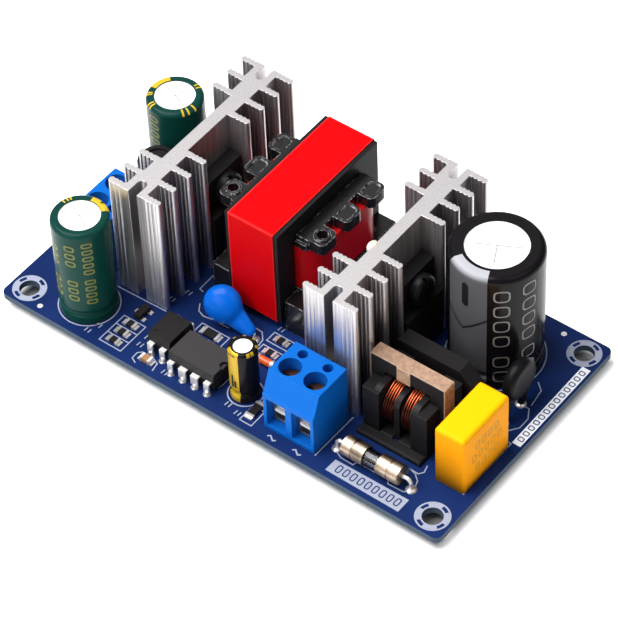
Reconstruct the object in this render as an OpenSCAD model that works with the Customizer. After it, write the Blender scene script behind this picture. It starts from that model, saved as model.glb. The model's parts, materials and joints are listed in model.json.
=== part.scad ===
// Open-frame switching power supply on one drilled board.
// X runs along the long front edge, Y from the front edge to the back, Z up.
// The origin is the middle of the four fixing holes, on the underside of the board.
// Board positions are measured from the left front corner, and the board grows with its parts.

/* [Board] */
// Thickness of the laminate
board_t = 1.2; // [0.8:0.1:2.4]
// Radius of the board's corners
board_corner_r = 1.2; // [0.5:0.1:2]
// Diameter of the four fixing holes
fixing_d = 3.5; // [2.5:0.1:4]
// Distance of each fixing hole from both board edges
fixing_inset = 3.5; // [3:0.1:4.5]
// Clear width round a lead in its drilled hole
drill_clear = 0.15; // [0.05:0.05:0.3]
// Length of a trimmed lead under the board
lead_out = 1.8; // [1.4:0.1:3]
// Height of a solder fillet under the board
solder_h = 1.2; // [0.6:0.1:1.3]
// Spread of a solder fillet past its lead
solder_spread = 0.6; // [0.3:0.05:0.7]

/* [Layout] */
// Left board edge to the output terminal
left_margin = 3.64; // [2:0.1:8]
// Front board edge to the input terminal
front_margin = 2.67; // [1:0.1:6]
// Right board edge to the box capacitor
right_margin = 2.05; // [1:0.05:8]
// Output terminal to the secondary heatsink
terminal_to_heatsink_x = 2.2; // [1.5:0.1:5]
// Input terminal to the heatsink fronts
terminal_to_heatsink_y = 1.29; // [0.6:0.1:5]
// Secondary heatsink to the transformer
heatsink_to_transformer = 2.05; // [1:0.1:6]
// Transformer to the primary heatsink
transformer_to_heatsink = 5.2; // [1:0.1:9]
// Primary heatsink to the mains choke
heatsink_to_choke = 0.75; // [0.4:0.05:4]
// Mains choke to the box capacitor
choke_to_box = 2.4; // [1:0.1:6]
// Heatsink fronts to the transformer core, along Y
core_setback = 7.5; // [6:0.1:12]
// Transformer core to the back edge
core_to_edge = 1.6; // [0.6:0.1:6]
// Fuse to the mains choke
fuse_to_choke = 4.6; // [3:0.1:8]
// Mains choke to the bridge rectifier
choke_to_bridge = 0.45; // [0.3:0.05:2]
// Front board edge to the box capacitor
box_front = 9.9; // [6.5:0.1:14]

/* [Screw terminals] */
// Distance between two ways
term_pitch = 5.08; // [5:0.02:7.62]
// Depth of the housing from its wire side
term_depth = 9.14; // [8.6:0.1:12]
// Height of the housing
term_h = 12.28; // [11.5:0.1:15]
// Height at which the sloped front begins
term_lip_z = 8.5; // [8.3:0.1:9.5]
// Set-back of the top edge from the wire side
term_slope = 1.88; // [1:0.1:2]
// Diameter of the screwdriver shaft
shaft_d = 3.9; // [3.8:0.1:4.2]
// Distance of the screw from the wire side
screw_y = 4.28; // [4:0.05:4.6]
// Width of a wire mouth
mouth_w = 3.85; // [2.5:0.05:4]
// Diameter of the clamp screw
clamp_screw_d = 3; // [2.5:0.1:3.2]
// Travel of the clamp cage
clamp_travel = 1.5; // [0.5:0.1:1.6]

/* [Capacitors] */
// Diameter of the bulk capacitor
bulk_d = 16; // [12.5:0.5:18]
// Height of the bulk capacitor
bulk_h = 25.8; // [16:0.2:35]
// Diameter of the two output capacitors
output_d = 10; // [8:0.5:10.5]
// Height of the two output capacitors
output_h = 21.2; // [12:0.2:30]
// Diameter of the controller's supply capacitor
supply_d = 5; // [4:0.5:6.5]
// Height of the controller's supply capacitor
supply_h = 11.6; // [7:0.2:16]
// Diameter of the bulk capacitor's bare top
bulk_top_d = 10.7; // [8:0.1:11.5]
// Diameter of an output capacitor's bare top
output_top_d = 7.1; // [5:0.1:7.4]
// Diameter of the supply capacitor's bare top
supply_top_d = 3.3; // [2:0.1:3.4]
// Thickness of the printed sleeve
sleeve_t = 0.2; // [0.1:0.05:0.3]
// Depth of the rolled bead near the foot
bead_depth = 0.4; // [0.2:0.05:0.5]

/* [Heatsinks] */
// Height of the extrusion
sink_h = 25; // [22:0.5:40]
// Width over the fin tips
sink_w = 10.75; // [9.5:0.25:16]
// Clear seat between the inner fins
sink_seat = 10.4; // [10.3:0.1:14]
// Thickness of the bare web
web_t = 2.3; // [1.6:0.1:3]
// Thickness of a fin
fin_t = 1.2; // [1:0.1:1.6]
// Distance from one fin to the next
fin_pitch = 3.93; // [3:0.05:6]
// Width of the open end slot
slot_w = 1.8; // [1.2:0.1:2]
// Depth of the open end slot
slot_depth = 3.3; // [2.5:0.1:3.5]

/* [Transformer] */
// Length of the core, along Y
core_l = 27.2; // [24:0.1:34]
// Thickness of the core, along X
core_t = 10.8; // [9:0.1:14]
// Height of the core
core_h = 20.3; // [17:0.1:26]
// Height of the core's underside over the board
core_z = 2.2; // [1:0.1:4]
// Height of a yoke
yoke_h = 3.8; // [3:0.1:5]
// Width of the centre leg
centre_leg = 7.2; // [6:0.1:9]
// Width of an outer leg
outer_leg = 4; // [3:0.1:5]
// Width of the bobbin over its tabs
bobbin_w = 22; // [20.5:0.1:28]

/* [Mains filter] */
// Length of the choke's ferrite loop
choke_l = 14.3; // [13.4:0.1:20]
// Height of the choke's ferrite loop
choke_h = 9.8; // [9:0.1:14]
// Section of the loop's legs
choke_leg = 2.7; // [2.2:0.1:3.2]
// Thickness of the loop, along Y
choke_t = 2.75; // [2:0.05:3.4]
// Diameter of a copper winding
choke_wire_d = 8.8; // [7.5:0.1:9.4]
// Thickness of the box capacitor
box_t = 5.85; // [4:0.05:9]
// Length of the box capacitor, along Y
box_l = 12.6; // [11.5:0.1:14]
// Height of the box capacitor
box_h = 12.4; // [8:0.1:18]
// Diameter of the fuse's end caps
fuse_d = 3.6; // [3:0.1:4.4]
// Length of the fuse over its end caps
fuse_l = 11.2; // [9:0.1:12.5]

/* [Small parts] */
// Length of the bridge rectifier
bridge_l = 14.5; // [13:0.1:15.2]
// Thickness of the bridge rectifier
bridge_t = 2.9; // [2.4:0.1:3.8]
// Height of the bridge rectifier's body
bridge_h = 10.4; // [8:0.1:14]
// Diameter of the output inductor over its sleeve
drum_d = 7; // [5.5:0.1:7.4]
// Height of the output inductor
drum_h = 14.6; // [8:0.1:18]
// Length of the controller's body
chip_l = 9.4; // [9:0.1:10]
// Length of the optocoupler's body
opto_l = 4.6; // [4.2:0.1:5]
// Distance between two leads of a dual in-line package
dip_pitch = 2.54; // [2.3:0.02:2.6]
// Width of a dual in-line body
dip_w = 6.4; // [6:0.1:7]
// Length of a small chip resistor
smd_l = 2; // [1.6:0.1:2.2]
// Width of a small chip resistor
smd_w = 1.25; // [0.8:0.05:1.4]
// Length of a large chip resistor
big_smd_l = 3.2; // [2.6:0.1:3.4]
// Width of a large chip resistor
big_smd_w = 1.6; // [1.2:0.1:1.8]
// Diameter of the thermistor disc
disc_d = 7.6; // [6:0.1:8]
// Thickness of the thermistor disc
disc_t = 2.4; // [1.8:0.1:3]
// Angle at which the thermistor leans back
disc_lean = 15; // [0:1:20]
// Diameter of the blue disc capacitor
y_disc_d = 7; // [6:0.1:7.6]
// Thickness of the blue disc capacitor
y_disc_t = 3.6; // [2.8:0.1:4]

/* [Hidden] */
$fn = 48;
fit = 0.02;
slide_clear = 0.1;
run_clear = 0.05;

// Screw terminal, seen from its wire side
ways = 2;
term_w = ways * term_pitch;
term_floor = 0.8;
term_wall = 1;
cage_w = 3.8;
cage_back = 1.7;
cage_front = 2.6;
cage_h = 5.1;
cage_t = 0.6;
cage_top_t = 1.6;
cage_z = term_floor + slide_clear;
bar_w = 2.2;
bar_t = 0.6;
bar_z = cage_z + cage_h - cage_top_t - slide_clear - bar_t;
bar_leg_y = 7;
bar_leg_w = 0.9;
cavity_w = cage_w + 2 * slide_clear;
cavity_y = screw_y + cage_back + slide_clear;
cavity_z = cage_z + cage_h + clamp_travel + slide_clear;
mouth_top = cavity_z - 0.4;
mouth_r = 0.3;
shelf_z = cavity_z + 0.6;
screw_head_h = 1.5;
screw_head_d = shaft_d - 0.4;
screw_slot_w = 0.6;
screw_slot_h = 0.7;
bar_lead_r = norm([bar_leg_w, bar_t]) / 2;

// Heatsink
fins = 4;
sink_l = sink_seat + 2 * fin_t + 2 * (fins - 1) * fin_pitch;
root_t = web_t + 1.3;
fork_t = web_t + 2.2;
sink_pin_r = slot_w / 2 - fit;
sink_pin_h = 8;
groove_r = 0.2;

// Power devices on the heatsinks
device_w = 10;
tab_t = 2.6;
device_t = 4.5;
device_z = 1.6;
device_body_h = 9.2;
tab_h = 15.6;
device_screw_z = device_z + tab_h - 2.8;
device_screw_d = 5.6;
device_screw_h = 2.2;
device_slot_w = 0.7;
device_slot_h = 0.8;
device_lead_x = 2.5;
device_pitch = 2.54;
device_lead_w = 0.8;
device_lead_t = 0.5;
device_lead_r = norm([device_lead_w, device_lead_t]) / 2;

// Transformer
core_clear = 0.2;
bobbin_wall = 0.8;
flange_t = 1.2;
tape_t = 0.2;
tape_w = core_t - 1.5;
window_w = (core_l - centre_leg) / 2 - outer_leg;
window_z0 = core_z + yoke_h;
window_z1 = core_z + core_h - yoke_h;
flange_y = centre_leg / 2 + window_w - core_clear;
side_x = core_t / 2 + core_clear;
tab_w = 4.2;
tab_step = 6.6;
tab_root = bobbin_w / 2 - 3;
tab_reach = 3.5;
tab_r = 1.1;
tabs_h = flange_t + 1;
collar_x = tab_reach / 2;
collar_d = 2.9;
collar_h = 0.35;
collar_hole_d = 1.9;
dish_depth = 0.2;
rail_x = side_x + 4;
rail_y = core_l / 2 - 0.9;
winding_x = tab_root + 1.6;
pin_r = 0.4;
pin_step = 5;
pin_top = 3.8;
pin_x = (side_x + rail_x) / 2;

// Choke
choke_clear = 0.15;
choke_wall = 0.5;
choke_flange = choke_wire_d / 2 + 0.5;
choke_axis_z = choke_flange + 0.35;
choke_z = choke_axis_z - choke_leg / 2;
choke_reach = choke_l / 2 - choke_leg - 0.1;
choke_flange_t = 1.2;
choke_divider = 1;
choke_d = 2 * choke_flange;
choke_pin_x = choke_reach + 0.5;
choke_pin_y = choke_flange - 0.9;
choke_pin_top = 2.5;
tape_end_x = -1.9;
tape_end_w = 2.6;
tape_end_h = 3;

// Fuse
cap_l = fuse_l * 0.38;
cap_ring_z = cap_l * 0.45;
cap_ring_w = 0.25;
cap_ring_depth = 0.12;

// Dual in-line packages
dip_row_y = dip_w / 2 + 0.62;
dip_waist = 2.4;
dip_lead_t = 0.25;

// Board positions, left to right
out_term_x = left_margin;
sink1_x = out_term_x + term_depth + terminal_to_heatsink_x + sink_w / 2;
core_x = sink1_x + sink_w / 2 + heatsink_to_transformer + bobbin_w / 2;
sink2_x = core_x + bobbin_w / 2 + transformer_to_heatsink + sink_w / 2;
choke_x = sink2_x + sink_w / 2 + heatsink_to_choke + choke_l / 2;
box_x = choke_x + choke_l / 2 + choke_to_box + box_t / 2;
board_l = box_x + box_t / 2 + right_margin;

// Board positions, front to back
in_term_y = front_margin;
sink_y0 = in_term_y + term_depth + terminal_to_heatsink_y;
sink_y = sink_y0 + sink_l / 2;
core_y = sink_y0 + core_setback + core_l / 2;
board_w = max(sink_y0 + sink_l, core_y + core_l / 2 + core_to_edge);
in_term_x = sink2_x - term_w / 2 - 0.8;
out_term_y = sink_y0 + 1.9;
fuse_y = 5.95;
fuse_x = choke_x + 0.6;
fuse_z = fuse_d / 2 + 0.4;
fuse_lead_x = fuse_l / 2 + 1.75;
choke_y = fuse_y + fuse_d / 2 + fuse_to_choke + choke_flange;
bridge_x = choke_x + 0.5;
bridge_y = choke_y + choke_flange + choke_to_bridge + bridge_t / 2;
bridge_z = 0.8;
bridge_step = 3.81;
bridge_lead_w = 0.8;
bridge_lead_t = 0.5;
box_y = box_front + box_l / 2;
box_lead_y = box_l / 2 - 1.3;
bulk_x = sink2_x + sink_w / 2 + 1.85 + bulk_d / 2;
bulk_y = board_w - 3.8 - bulk_d / 2;
front_x = sink1_x - sink_w / 2 - 1.1;
front_y = sink_y0 - 1.2 - output_d / 2;
drum_x = sink1_x - sink_w / 2 - 3.5;
drum_y = out_term_y + term_w + 0.75 + drum_d / 2;
rear_x = 3.8 + output_d / 2;
rear_y = drum_y + sqrt(pow(output_d / 2 + drum_d / 2 + 0.5, 2) - pow(drum_x - rear_x, 2));
supply_x = in_term_x - 4.4 - supply_d / 2;
supply_y = 4.05 + supply_d / 2;
chip_x = supply_x - supply_d / 2 - 1.6 - chip_l / 2;
chip_y = 6.4;
opto_x = chip_x - chip_l / 2 - 0.9 - opto_l / 2;
opto_y = 7.8;
smd_h = 0.55;
smd_step = smd_w + 0.95;
smd_row_x = opto_x - opto_l / 2 - 5.8;
smd_row_y = 2.6;
disc_x = bulk_x + bulk_d / 2 + 0.6 + disc_t / 2;
disc_y = box_y + box_l / 2 + 2.1 + disc_d / 2;
disc_z = disc_d / 2 + 3.1;
disc_lead_y = 2.5;
y_disc_x = core_x - 3.7;
y_disc_y = core_y - core_l / 2 - 0.5 - y_disc_d / 2;
y_disc_z = 4.9;
diode_x = core_x + 7.7;
diode_y = core_y - core_l / 2 - 7.3;
diode_l = 3.4;
diode_d = 1.4;
diode_cap_l = 0.5;
diode_cap_d = 1.6;
y_lead_x = 3.75;
y_lead_shift = 2.65;

// Leads through the board: x, y and radius of each
function along_x(x, y, d, r) = [[x - d, y, r], [x + d, y, r]];
function along_y(x, y, d, r) = [[x, y - d, r], [x, y + d, r]];
function in_bar(i) = [in_term_x + (i + 0.5) * term_pitch, in_term_y + bar_leg_y, bar_lead_r];
function out_bar(i) = [out_term_x + bar_leg_y, out_term_y + (i + 0.5) * term_pitch, bar_lead_r];
function sink_pins(x) = along_y(x, sink_y, sink_l / 2 - slot_depth + slot_w / 2, sink_pin_r);
function device_leads(x) =
    [for (k = [-1 : 1]) [x + web_t / 2 + device_lead_x, sink_y + k * device_pitch, device_lead_r]];
function dip_leads_at(x, y, n) =
    [for (i = [0 : n - 1], s = [-1, 1]) [x + (i - (n - 1) / 2) * dip_pitch, y + s * dip_row_y, 0.3]];
bulk_leads = along_x(bulk_x, bulk_y, 3.75, 0.4);
front_leads = along_x(front_x, front_y, 2.5, 0.3);
rear_leads = along_x(rear_x, rear_y, 2.5, 0.3);
supply_leads = along_x(supply_x, supply_y, 1, 0.25);
drum_leads = along_x(drum_x, drum_y, 2, 0.35);
bobbin_leads = [for (s = [-1, 1], k = [-2 : 2]) [core_x + s * pin_x, core_y + k * pin_step, pin_r]];
choke_leads = [for (s = [-1, 1], k = [-1, 1]) [choke_x + s * choke_pin_x, choke_y + k * choke_pin_y, 0.35]];
y_leads = along_x(y_disc_x + y_lead_shift, y_disc_y, y_lead_x, 0.3);
box_leads = along_y(box_x, box_y, box_lead_y, 0.35);
disc_leads = along_y(disc_x, disc_y, disc_lead_y, 0.3);
fuse_leads = along_x(fuse_x, fuse_y, fuse_lead_x, 0.35);
bridge_leads_at = [for (k = [-1.5 : 1.5]) [bridge_x + k * bridge_step, bridge_y, 0.5]];
leads = concat(
    [for (i = [0 : ways - 1]) in_bar(i)],
    [for (i = [0 : ways - 1]) out_bar(i)],
    sink_pins(sink1_x), sink_pins(sink2_x), device_leads(sink1_x), device_leads(sink2_x),
    bulk_leads, front_leads, rear_leads, supply_leads, drum_leads, bobbin_leads, choke_leads,
    y_leads, box_leads, disc_leads, fuse_leads, bridge_leads_at,
    dip_leads_at(chip_x, chip_y, 4), dip_leads_at(opto_x, opto_y, 2));

// Puts children on the board's upper face, measured from its left front corner
module on_board(x, y, z = 0) {
    translate([x - board_l / 2, y - board_w / 2, board_t + z]) children();
}

// Rounded rectangle about the origin
module rounded(l, w, r) {
    square([l - 2 * r, w], center = true);
    square([l, w - 2 * r], center = true);
    for (sx = [-1, 1], sy = [-1, 1]) {
        translate([sx * (l / 2 - r), sy * (w / 2 - r)]) circle(r);
    }
}

// Extrudes an outline drawn in Y and Z along X, centred
module along_x_axis(l) {
    rotate([90, 0, 90]) linear_extrude(l, center = true) children();
}

// Extrudes an outline drawn in X and Z along Y, centred
module along_y_axis(l) {
    rotate([90, 0, 0]) linear_extrude(l, center = true) children();
}

// Straight cone from one point to another
module rod(a, b, r1, r2) {
    d = b - a;
    translate(a)
        rotate([0, acos(d[2] / norm(d)), atan2(d[1], d[0])])
            cylinder(h = norm(d), r1 = r1, r2 = r2);
}

// Disc lying on the XY plane with rounded edges
module rounded_disc(d, t, r) {
    rotate_extrude() {
        square([d / 2 - r, t]);
        translate([0, r]) square([d / 2, t - 2 * r]);
        for (z = [r, t - r]) {
            translate([d / 2 - r, z]) circle(r);
        }
    }
}

// Round leads from under the board up to a height over it
module round_leads(list, top) {
    for (p = list) {
        on_board(p[0], p[1], -board_t - lead_out) cylinder(h = board_t + lead_out + top, r = p[2]);
    }
}

module circuit_board() {
    color([0.1, 0.24, 0.5])
    linear_extrude(board_t) difference() {
        rounded(board_l, board_w, board_corner_r);
        for (sx = [-1, 1], sy = [-1, 1]) {
            translate([sx * (board_l / 2 - fixing_inset), sy * (board_w / 2 - fixing_inset)])
                circle(d = fixing_d);
        }
        for (p = leads) {
            translate([p[0] - board_l / 2, p[1] - board_w / 2]) circle(p[2] + drill_clear);
        }
    }
}

module solder_joints() {
    color([0.75, 0.76, 0.78])
    for (p = leads) {
        on_board(p[0], p[1], -board_t - solder_h) difference() {
            cylinder(h = solder_h, r1 = p[2] + 0.12, r2 = p[2] + solder_spread);
            translate([0, 0, -1]) cylinder(h = solder_h + 2, r = p[2] + fit);
        }
    }
}

// Screw terminals: X runs along the ways and Y starts at the wire side

module at_input() {
    on_board(in_term_x, in_term_y) children();
}

module at_output() {
    on_board(out_term_x, out_term_y + term_w) rotate([0, 0, -90]) children();
}

module at_way(i) {
    translate([(i + 0.5) * term_pitch, 0, 0]) children();
}

module terminal_housing() {
    difference() {
        translate([term_w / 2, 0, 0]) along_x_axis(term_w) polygon([
            [0, 0], [0, term_lip_z - 0.3], [0.35, term_lip_z],
            [term_slope, term_h], [term_depth, term_h], [term_depth, 0]]);
        for (i = [0 : ways - 1]) {
            at_way(i) {
                translate([0, screw_y, shelf_z]) cylinder(h = term_h, d = shaft_d);
                translate([0, screw_y, cavity_z - 0.1]) cylinder(h = term_h, d = clamp_screw_d + 0.3);
                translate([-cavity_w / 2, term_wall, term_floor])
                    cube([cavity_w, cavity_y - term_wall, cavity_z - term_floor]);
                translate([0, term_wall / 2, (term_floor + mouth_top) / 2]) along_y_axis(term_wall + 0.4)
                    rounded(mouth_w, mouth_top - term_floor, mouth_r);
                translate([-bar_w / 2 - 0.1, term_wall, bar_z - 0.1])
                    cube([bar_w + 0.2, bar_leg_y + bar_t / 2 + 0.1 - term_wall, bar_t + 0.2]);
                translate([-bar_leg_w / 2 - 0.1, bar_leg_y - bar_t / 2 - 0.1, -1])
                    cube([bar_leg_w + 0.2, bar_t + 0.2, bar_z + 1]);
                translate([0, 7.6, term_h - 3]) cylinder(h = 4, d = 1.8);
            }
        }
    }
}

module contact_bar() {
    translate([-bar_w / 2, term_wall + 0.2, bar_z])
        cube([bar_w, bar_leg_y + bar_t / 2 - term_wall - 0.2, bar_t]);
    translate([-bar_leg_w / 2, bar_leg_y - bar_t / 2, -board_t - lead_out])
        cube([bar_leg_w, bar_t, board_t + lead_out + bar_z + bar_t / 2]);
}

module clamp_cage() {
    translate([0, screw_y, cage_z]) difference() {
        translate([-cage_w / 2, -cage_front, 0]) cube([cage_w, cage_front + cage_back, cage_h]);
        translate([-cage_w / 2 + cage_t, -2 * cage_front, cage_t])
            cube([cage_w - 2 * cage_t, 4 * cage_front, cage_h - cage_t - cage_top_t]);
        cylinder(h = cage_h + 1, d = clamp_screw_d + 2 * run_clear);
    }
}

module clamp_screw() {
    translate([0, screw_y, 0]) difference() {
        union() {
            translate([0, 0, bar_z + bar_t + run_clear])
                cylinder(h = shelf_z - bar_z - bar_t, d = clamp_screw_d);
            translate([0, 0, shelf_z + run_clear]) cylinder(h = screw_head_h, d = screw_head_d);
        }
        translate([-screw_head_d, -screw_slot_w / 2, shelf_z + run_clear + screw_head_h - screw_slot_h])
            cube([2 * screw_head_d, screw_slot_w, screw_head_h]);
    }
}

module input_terminal() {
    color([0.08, 0.42, 0.85]) at_input() terminal_housing();
}

module output_terminal() {
    color([0.08, 0.42, 0.85]) at_output() terminal_housing();
}

module terminal_contacts() {
    color([0.8, 0.8, 0.78])
    for (i = [0 : ways - 1]) {
        at_input() at_way(i) contact_bar();
        at_output() at_way(i) contact_bar();
    }
}

module input_clamp_a() {
    color([0.8, 0.78, 0.7]) at_input() at_way(0) clamp_cage();
}

module input_clamp_b() {
    color([0.8, 0.78, 0.7]) at_input() at_way(1) clamp_cage();
}

module output_clamp_a() {
    color([0.8, 0.78, 0.7]) at_output() at_way(0) clamp_cage();
}

module output_clamp_b() {
    color([0.8, 0.78, 0.7]) at_output() at_way(1) clamp_cage();
}

module input_screw_a() {
    color([0.7, 0.5, 0.35]) at_input() at_way(0) clamp_screw();
}

module input_screw_b() {
    color([0.7, 0.5, 0.35]) at_input() at_way(1) clamp_screw();
}

module output_screw_a() {
    color([0.7, 0.5, 0.35]) at_output() at_way(0) clamp_screw();
}

module output_screw_b() {
    color([0.7, 0.5, 0.35]) at_output() at_way(1) clamp_screw();
}

// Electrolytic capacitors: a beaded can in a shrunk sleeve that leaves the top disc bare

function bead_z(d) = 1.6 + d * 0.08;

module can_outline(r, h, edge) {
    difference() {
        union() {
            square([r - edge, h]);
            square([r, h - edge]);
            translate([r - edge, h - edge]) circle(edge);
        }
        translate([r + 0.6, bead_z(2 * r)]) circle(0.6 + bead_depth);
    }
}

module can(d, h) {
    edge = d * 0.06;
    rotate_extrude() difference() {
        can_outline(d / 2 - sleeve_t, h - sleeve_t, edge);
        square([d / 2 - sleeve_t - 0.6, 0.9]);
    }
}

module bung(d) {
    translate([0, 0, 0.3]) cylinder(h = 0.6 - fit, r = d / 2 - sleeve_t - 0.6 - fit);
}

module sleeve(d, h, top_d) {
    edge = d * 0.06;
    rotate_extrude() difference() {
        can_outline(d / 2, h, edge + sleeve_t);
        can_outline(d / 2 - sleeve_t + fit, h - sleeve_t + fit, edge);
        square([top_d / 2, 2 * h]);
        square([d, 0.15]);
    }
}

module bulk_can() {
    color([0.85, 0.86, 0.87]) on_board(bulk_x, bulk_y) can(bulk_d, bulk_h);
}

module bulk_sleeve() {
    color([0.05, 0.05, 0.06]) on_board(bulk_x, bulk_y) sleeve(bulk_d, bulk_h, bulk_top_d);
}

module front_can() {
    color([0.85, 0.86, 0.87]) on_board(front_x, front_y) can(output_d, output_h);
}

module front_sleeve() {
    color([0.05, 0.2, 0.12]) on_board(front_x, front_y) sleeve(output_d, output_h, output_top_d);
}

module rear_can() {
    color([0.85, 0.86, 0.87]) on_board(rear_x, rear_y) can(output_d, output_h);
}

module rear_sleeve() {
    color([0.05, 0.2, 0.12]) on_board(rear_x, rear_y) sleeve(output_d, output_h, output_top_d);
}

module supply_can() {
    color([0.85, 0.86, 0.87]) on_board(supply_x, supply_y) can(supply_d, supply_h);
}

module supply_sleeve() {
    color([0.05, 0.05, 0.06]) on_board(supply_x, supply_y) sleeve(supply_d, supply_h, supply_top_d);
}

module capacitor_bungs() {
    color([0.1, 0.1, 0.1]) {
        on_board(bulk_x, bulk_y) bung(bulk_d);
        on_board(front_x, front_y) bung(output_d);
        on_board(rear_x, rear_y) bung(output_d);
        on_board(supply_x, supply_y) bung(supply_d);
    }
}

module capacitor_leads() {
    color([0.8, 0.8, 0.8]) round_leads(concat(bulk_leads, front_leads, rear_leads, supply_leads), 0.3);
}

// Output inductor: a wound drum in a shrink sleeve

module inductor_core() {
    r = drum_d / 2 - 0.35;
    color([0.25, 0.25, 0.27]) on_board(drum_x, drum_y, 0.6) {
        cylinder(h = 2, r = r);
        cylinder(h = drum_h - 1, r = r * 0.5);
        translate([0, 0, drum_h - 3]) difference() {
            cylinder(h = 2, r = r);
            translate([0, 0, 1.2]) cylinder(h = 2, r = 0.9);
        }
    }
}

module inductor_winding() {
    r = drum_d / 2 - 0.35;
    color([0.7, 0.38, 0.16]) {
        on_board(drum_x, drum_y, 2.6 + run_clear) difference() {
            cylinder(h = drum_h - 5 - 2 * run_clear, r = r - 0.2);
            translate([0, 0, -1]) cylinder(h = drum_h, r = r * 0.5 + fit);
        }
        round_leads(drum_leads, 0.6);
    }
}

module inductor_sleeve() {
    r = drum_d / 2;
    color([0.06, 0.06, 0.06]) on_board(drum_x, drum_y) rotate_extrude() {
        difference() {
            union() {
                square([r - 0.6, drum_h]);
                square([r, drum_h - 0.6]);
                translate([r - 0.6, drum_h - 0.6]) circle(0.6);
            }
            square([r - 0.35 + fit, drum_h - 0.4 + fit]);
            square([r - 1.1, 2 * drum_h]);
        }
    }
}

// Heatsinks: one extruded profile with fins both sides, an open slot at each end
// and a bare seat for the power device between the inner fins

function fin_y(i) = sink_seat / 2 + fin_t / 2 + i * fin_pitch;

module fin() {
    tip = sink_w / 2 - fin_t / 2;
    difference() {
        union() {
            translate([0, -fin_t / 2]) square([tip, fin_t]);
            translate([tip, 0]) circle(fin_t / 2);
        }
        for (k = [0 : 2], s = [-1, 1]) {
            translate([tip - 0.25 - k * 0.85, s * (fin_t / 2 + 0.05)]) circle(groove_r);
        }
    }
}

module half_profile() {
    root_y = sink_l / 2 - fin_y(0) + fin_t / 2;
    fork_y = slot_depth + 0.9;
    translate([-web_t / 2, 0]) square([web_t, sink_l / 2]);
    translate([0, sink_l / 2 - root_y]) square([root_t / 2, root_y]);
    translate([-root_t / 2, fin_y(1)]) square([root_t / 2, sink_l / 2 - fin_y(1)]);
    translate([-fork_t / 2, sink_l / 2 - fork_y]) square([fork_t, fork_y]);
    for (i = [0 : fins - 1]) {
        translate([0, fin_y(i)]) fin();
    }
    for (i = [1 : fins - 1]) {
        translate([0, fin_y(i)]) mirror([1, 0]) fin();
    }
}

module heatsink() {
    difference() {
        linear_extrude(sink_h) difference() {
            union() {
                half_profile();
                mirror([0, 1]) half_profile();
            }
            for (s = [-1, 1]) {
                translate([0, s * (sink_l / 2 - slot_depth + slot_w / 2)]) circle(d = slot_w);
                translate([-slot_w / 2, s > 0 ? sink_l / 2 - slot_depth + slot_w / 2 : -sink_l / 2 - 1])
                    square([slot_w, slot_depth - slot_w / 2 + 1]);
            }
        }
        translate([0, 0, device_screw_z]) rotate([0, 90, 0]) cylinder(h = 2 * web_t, d = 3.1, center = true);
    }
}

module secondary_heatsink() {
    color([0.82, 0.83, 0.84]) on_board(sink1_x, sink_y) heatsink();
}

module primary_heatsink() {
    color([0.82, 0.83, 0.84]) on_board(sink2_x, sink_y) heatsink();
}

module heatsink_pins() {
    color([0.75, 0.76, 0.77]) round_leads(concat(sink_pins(sink1_x), sink_pins(sink2_x)), sink_pin_h);
}

// Power devices in full plastic packages: Z up, X away from the web, back flat on the web

module device_body() {
    difference() {
        union() {
            translate([0, -device_w / 2, device_z]) cube([device_t, device_w, device_body_h]);
            translate([0, -device_w / 2, device_z]) cube([tab_t, device_w, tab_h]);
        }
        translate([0, 0, device_screw_z]) rotate([0, 90, 0]) cylinder(h = 4 * tab_t, d = 3.4, center = true);
        for (s = [-1, 1]) {
            translate([0, s * device_w / 2, device_screw_z - 1.4]) cylinder(h = 2.6, r = 0.8);
        }
    }
}

module device_leads_down() {
    for (k = [-1 : 1]) {
        y = k * device_pitch;
        translate([device_lead_x - device_lead_t / 2, y - device_lead_w / 2, -board_t - lead_out])
            cube([device_lead_t, device_lead_w, board_t + lead_out + device_z]);
    }
}

module device_screw() {
    translate([tab_t, 0, device_screw_z]) rotate([0, 90, 0]) {
        difference() {
            rounded_disc(device_screw_d, device_screw_h, 0.8);
            translate([-device_screw_d, -device_slot_w / 2, device_screw_h - device_slot_h])
                cube([2 * device_screw_d, device_slot_w, device_screw_h]);
        }
        translate([0, 0, -tab_t - web_t - 1]) cylinder(h = tab_t + web_t + 1.5, d = 3);
    }
}

module rectifier_body() {
    color([0.08, 0.08, 0.09]) on_board(sink1_x + web_t / 2, sink_y) device_body();
}

module rectifier_leads() {
    color([0.78, 0.78, 0.78]) on_board(sink1_x + web_t / 2, sink_y) device_leads_down();
}

module transistor_body() {
    color([0.08, 0.08, 0.09]) on_board(sink2_x + web_t / 2, sink_y) device_body();
}

module transistor_leads() {
    color([0.78, 0.78, 0.78]) on_board(sink2_x + web_t / 2, sink_y) device_leads_down();
}

module device_screws() {
    color([0.1, 0.1, 0.1]) {
        on_board(sink1_x + web_t / 2, sink_y) device_screw();
        on_board(sink2_x + web_t / 2, sink_y) device_screw();
    }
}

// Transformer: two ferrite halves round a moulded bobbin, taped together

module core_half() {
    along_x_axis(core_t) {
        translate([-core_l / 2, 0]) square([core_l, yoke_h]);
        translate([-centre_leg / 2, 0]) square([centre_leg, core_h / 2]);
        translate([-core_l / 2, 0]) square([outer_leg, core_h / 2]);
        translate([core_l / 2 - outer_leg, 0]) square([outer_leg, core_h / 2]);
    }
}

module lower_core() {
    color([0.16, 0.16, 0.17]) on_board(core_x, core_y, core_z) core_half();
}

module upper_core() {
    color([0.16, 0.16, 0.17]) on_board(core_x, core_y, core_z + core_h) rotate([180, 0, 0]) core_half();
}

module core_tape() {
    color([0.85, 0.04, 0.05])
    on_board(core_x, core_y, core_z + core_h / 2) along_x_axis(tape_w) difference() {
        rounded(core_l + 2 * tape_t, core_h + 2 * tape_t, tape_t);
        square([core_l + 2 * fit, core_h + 2 * fit], center = true);
    }
}

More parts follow.
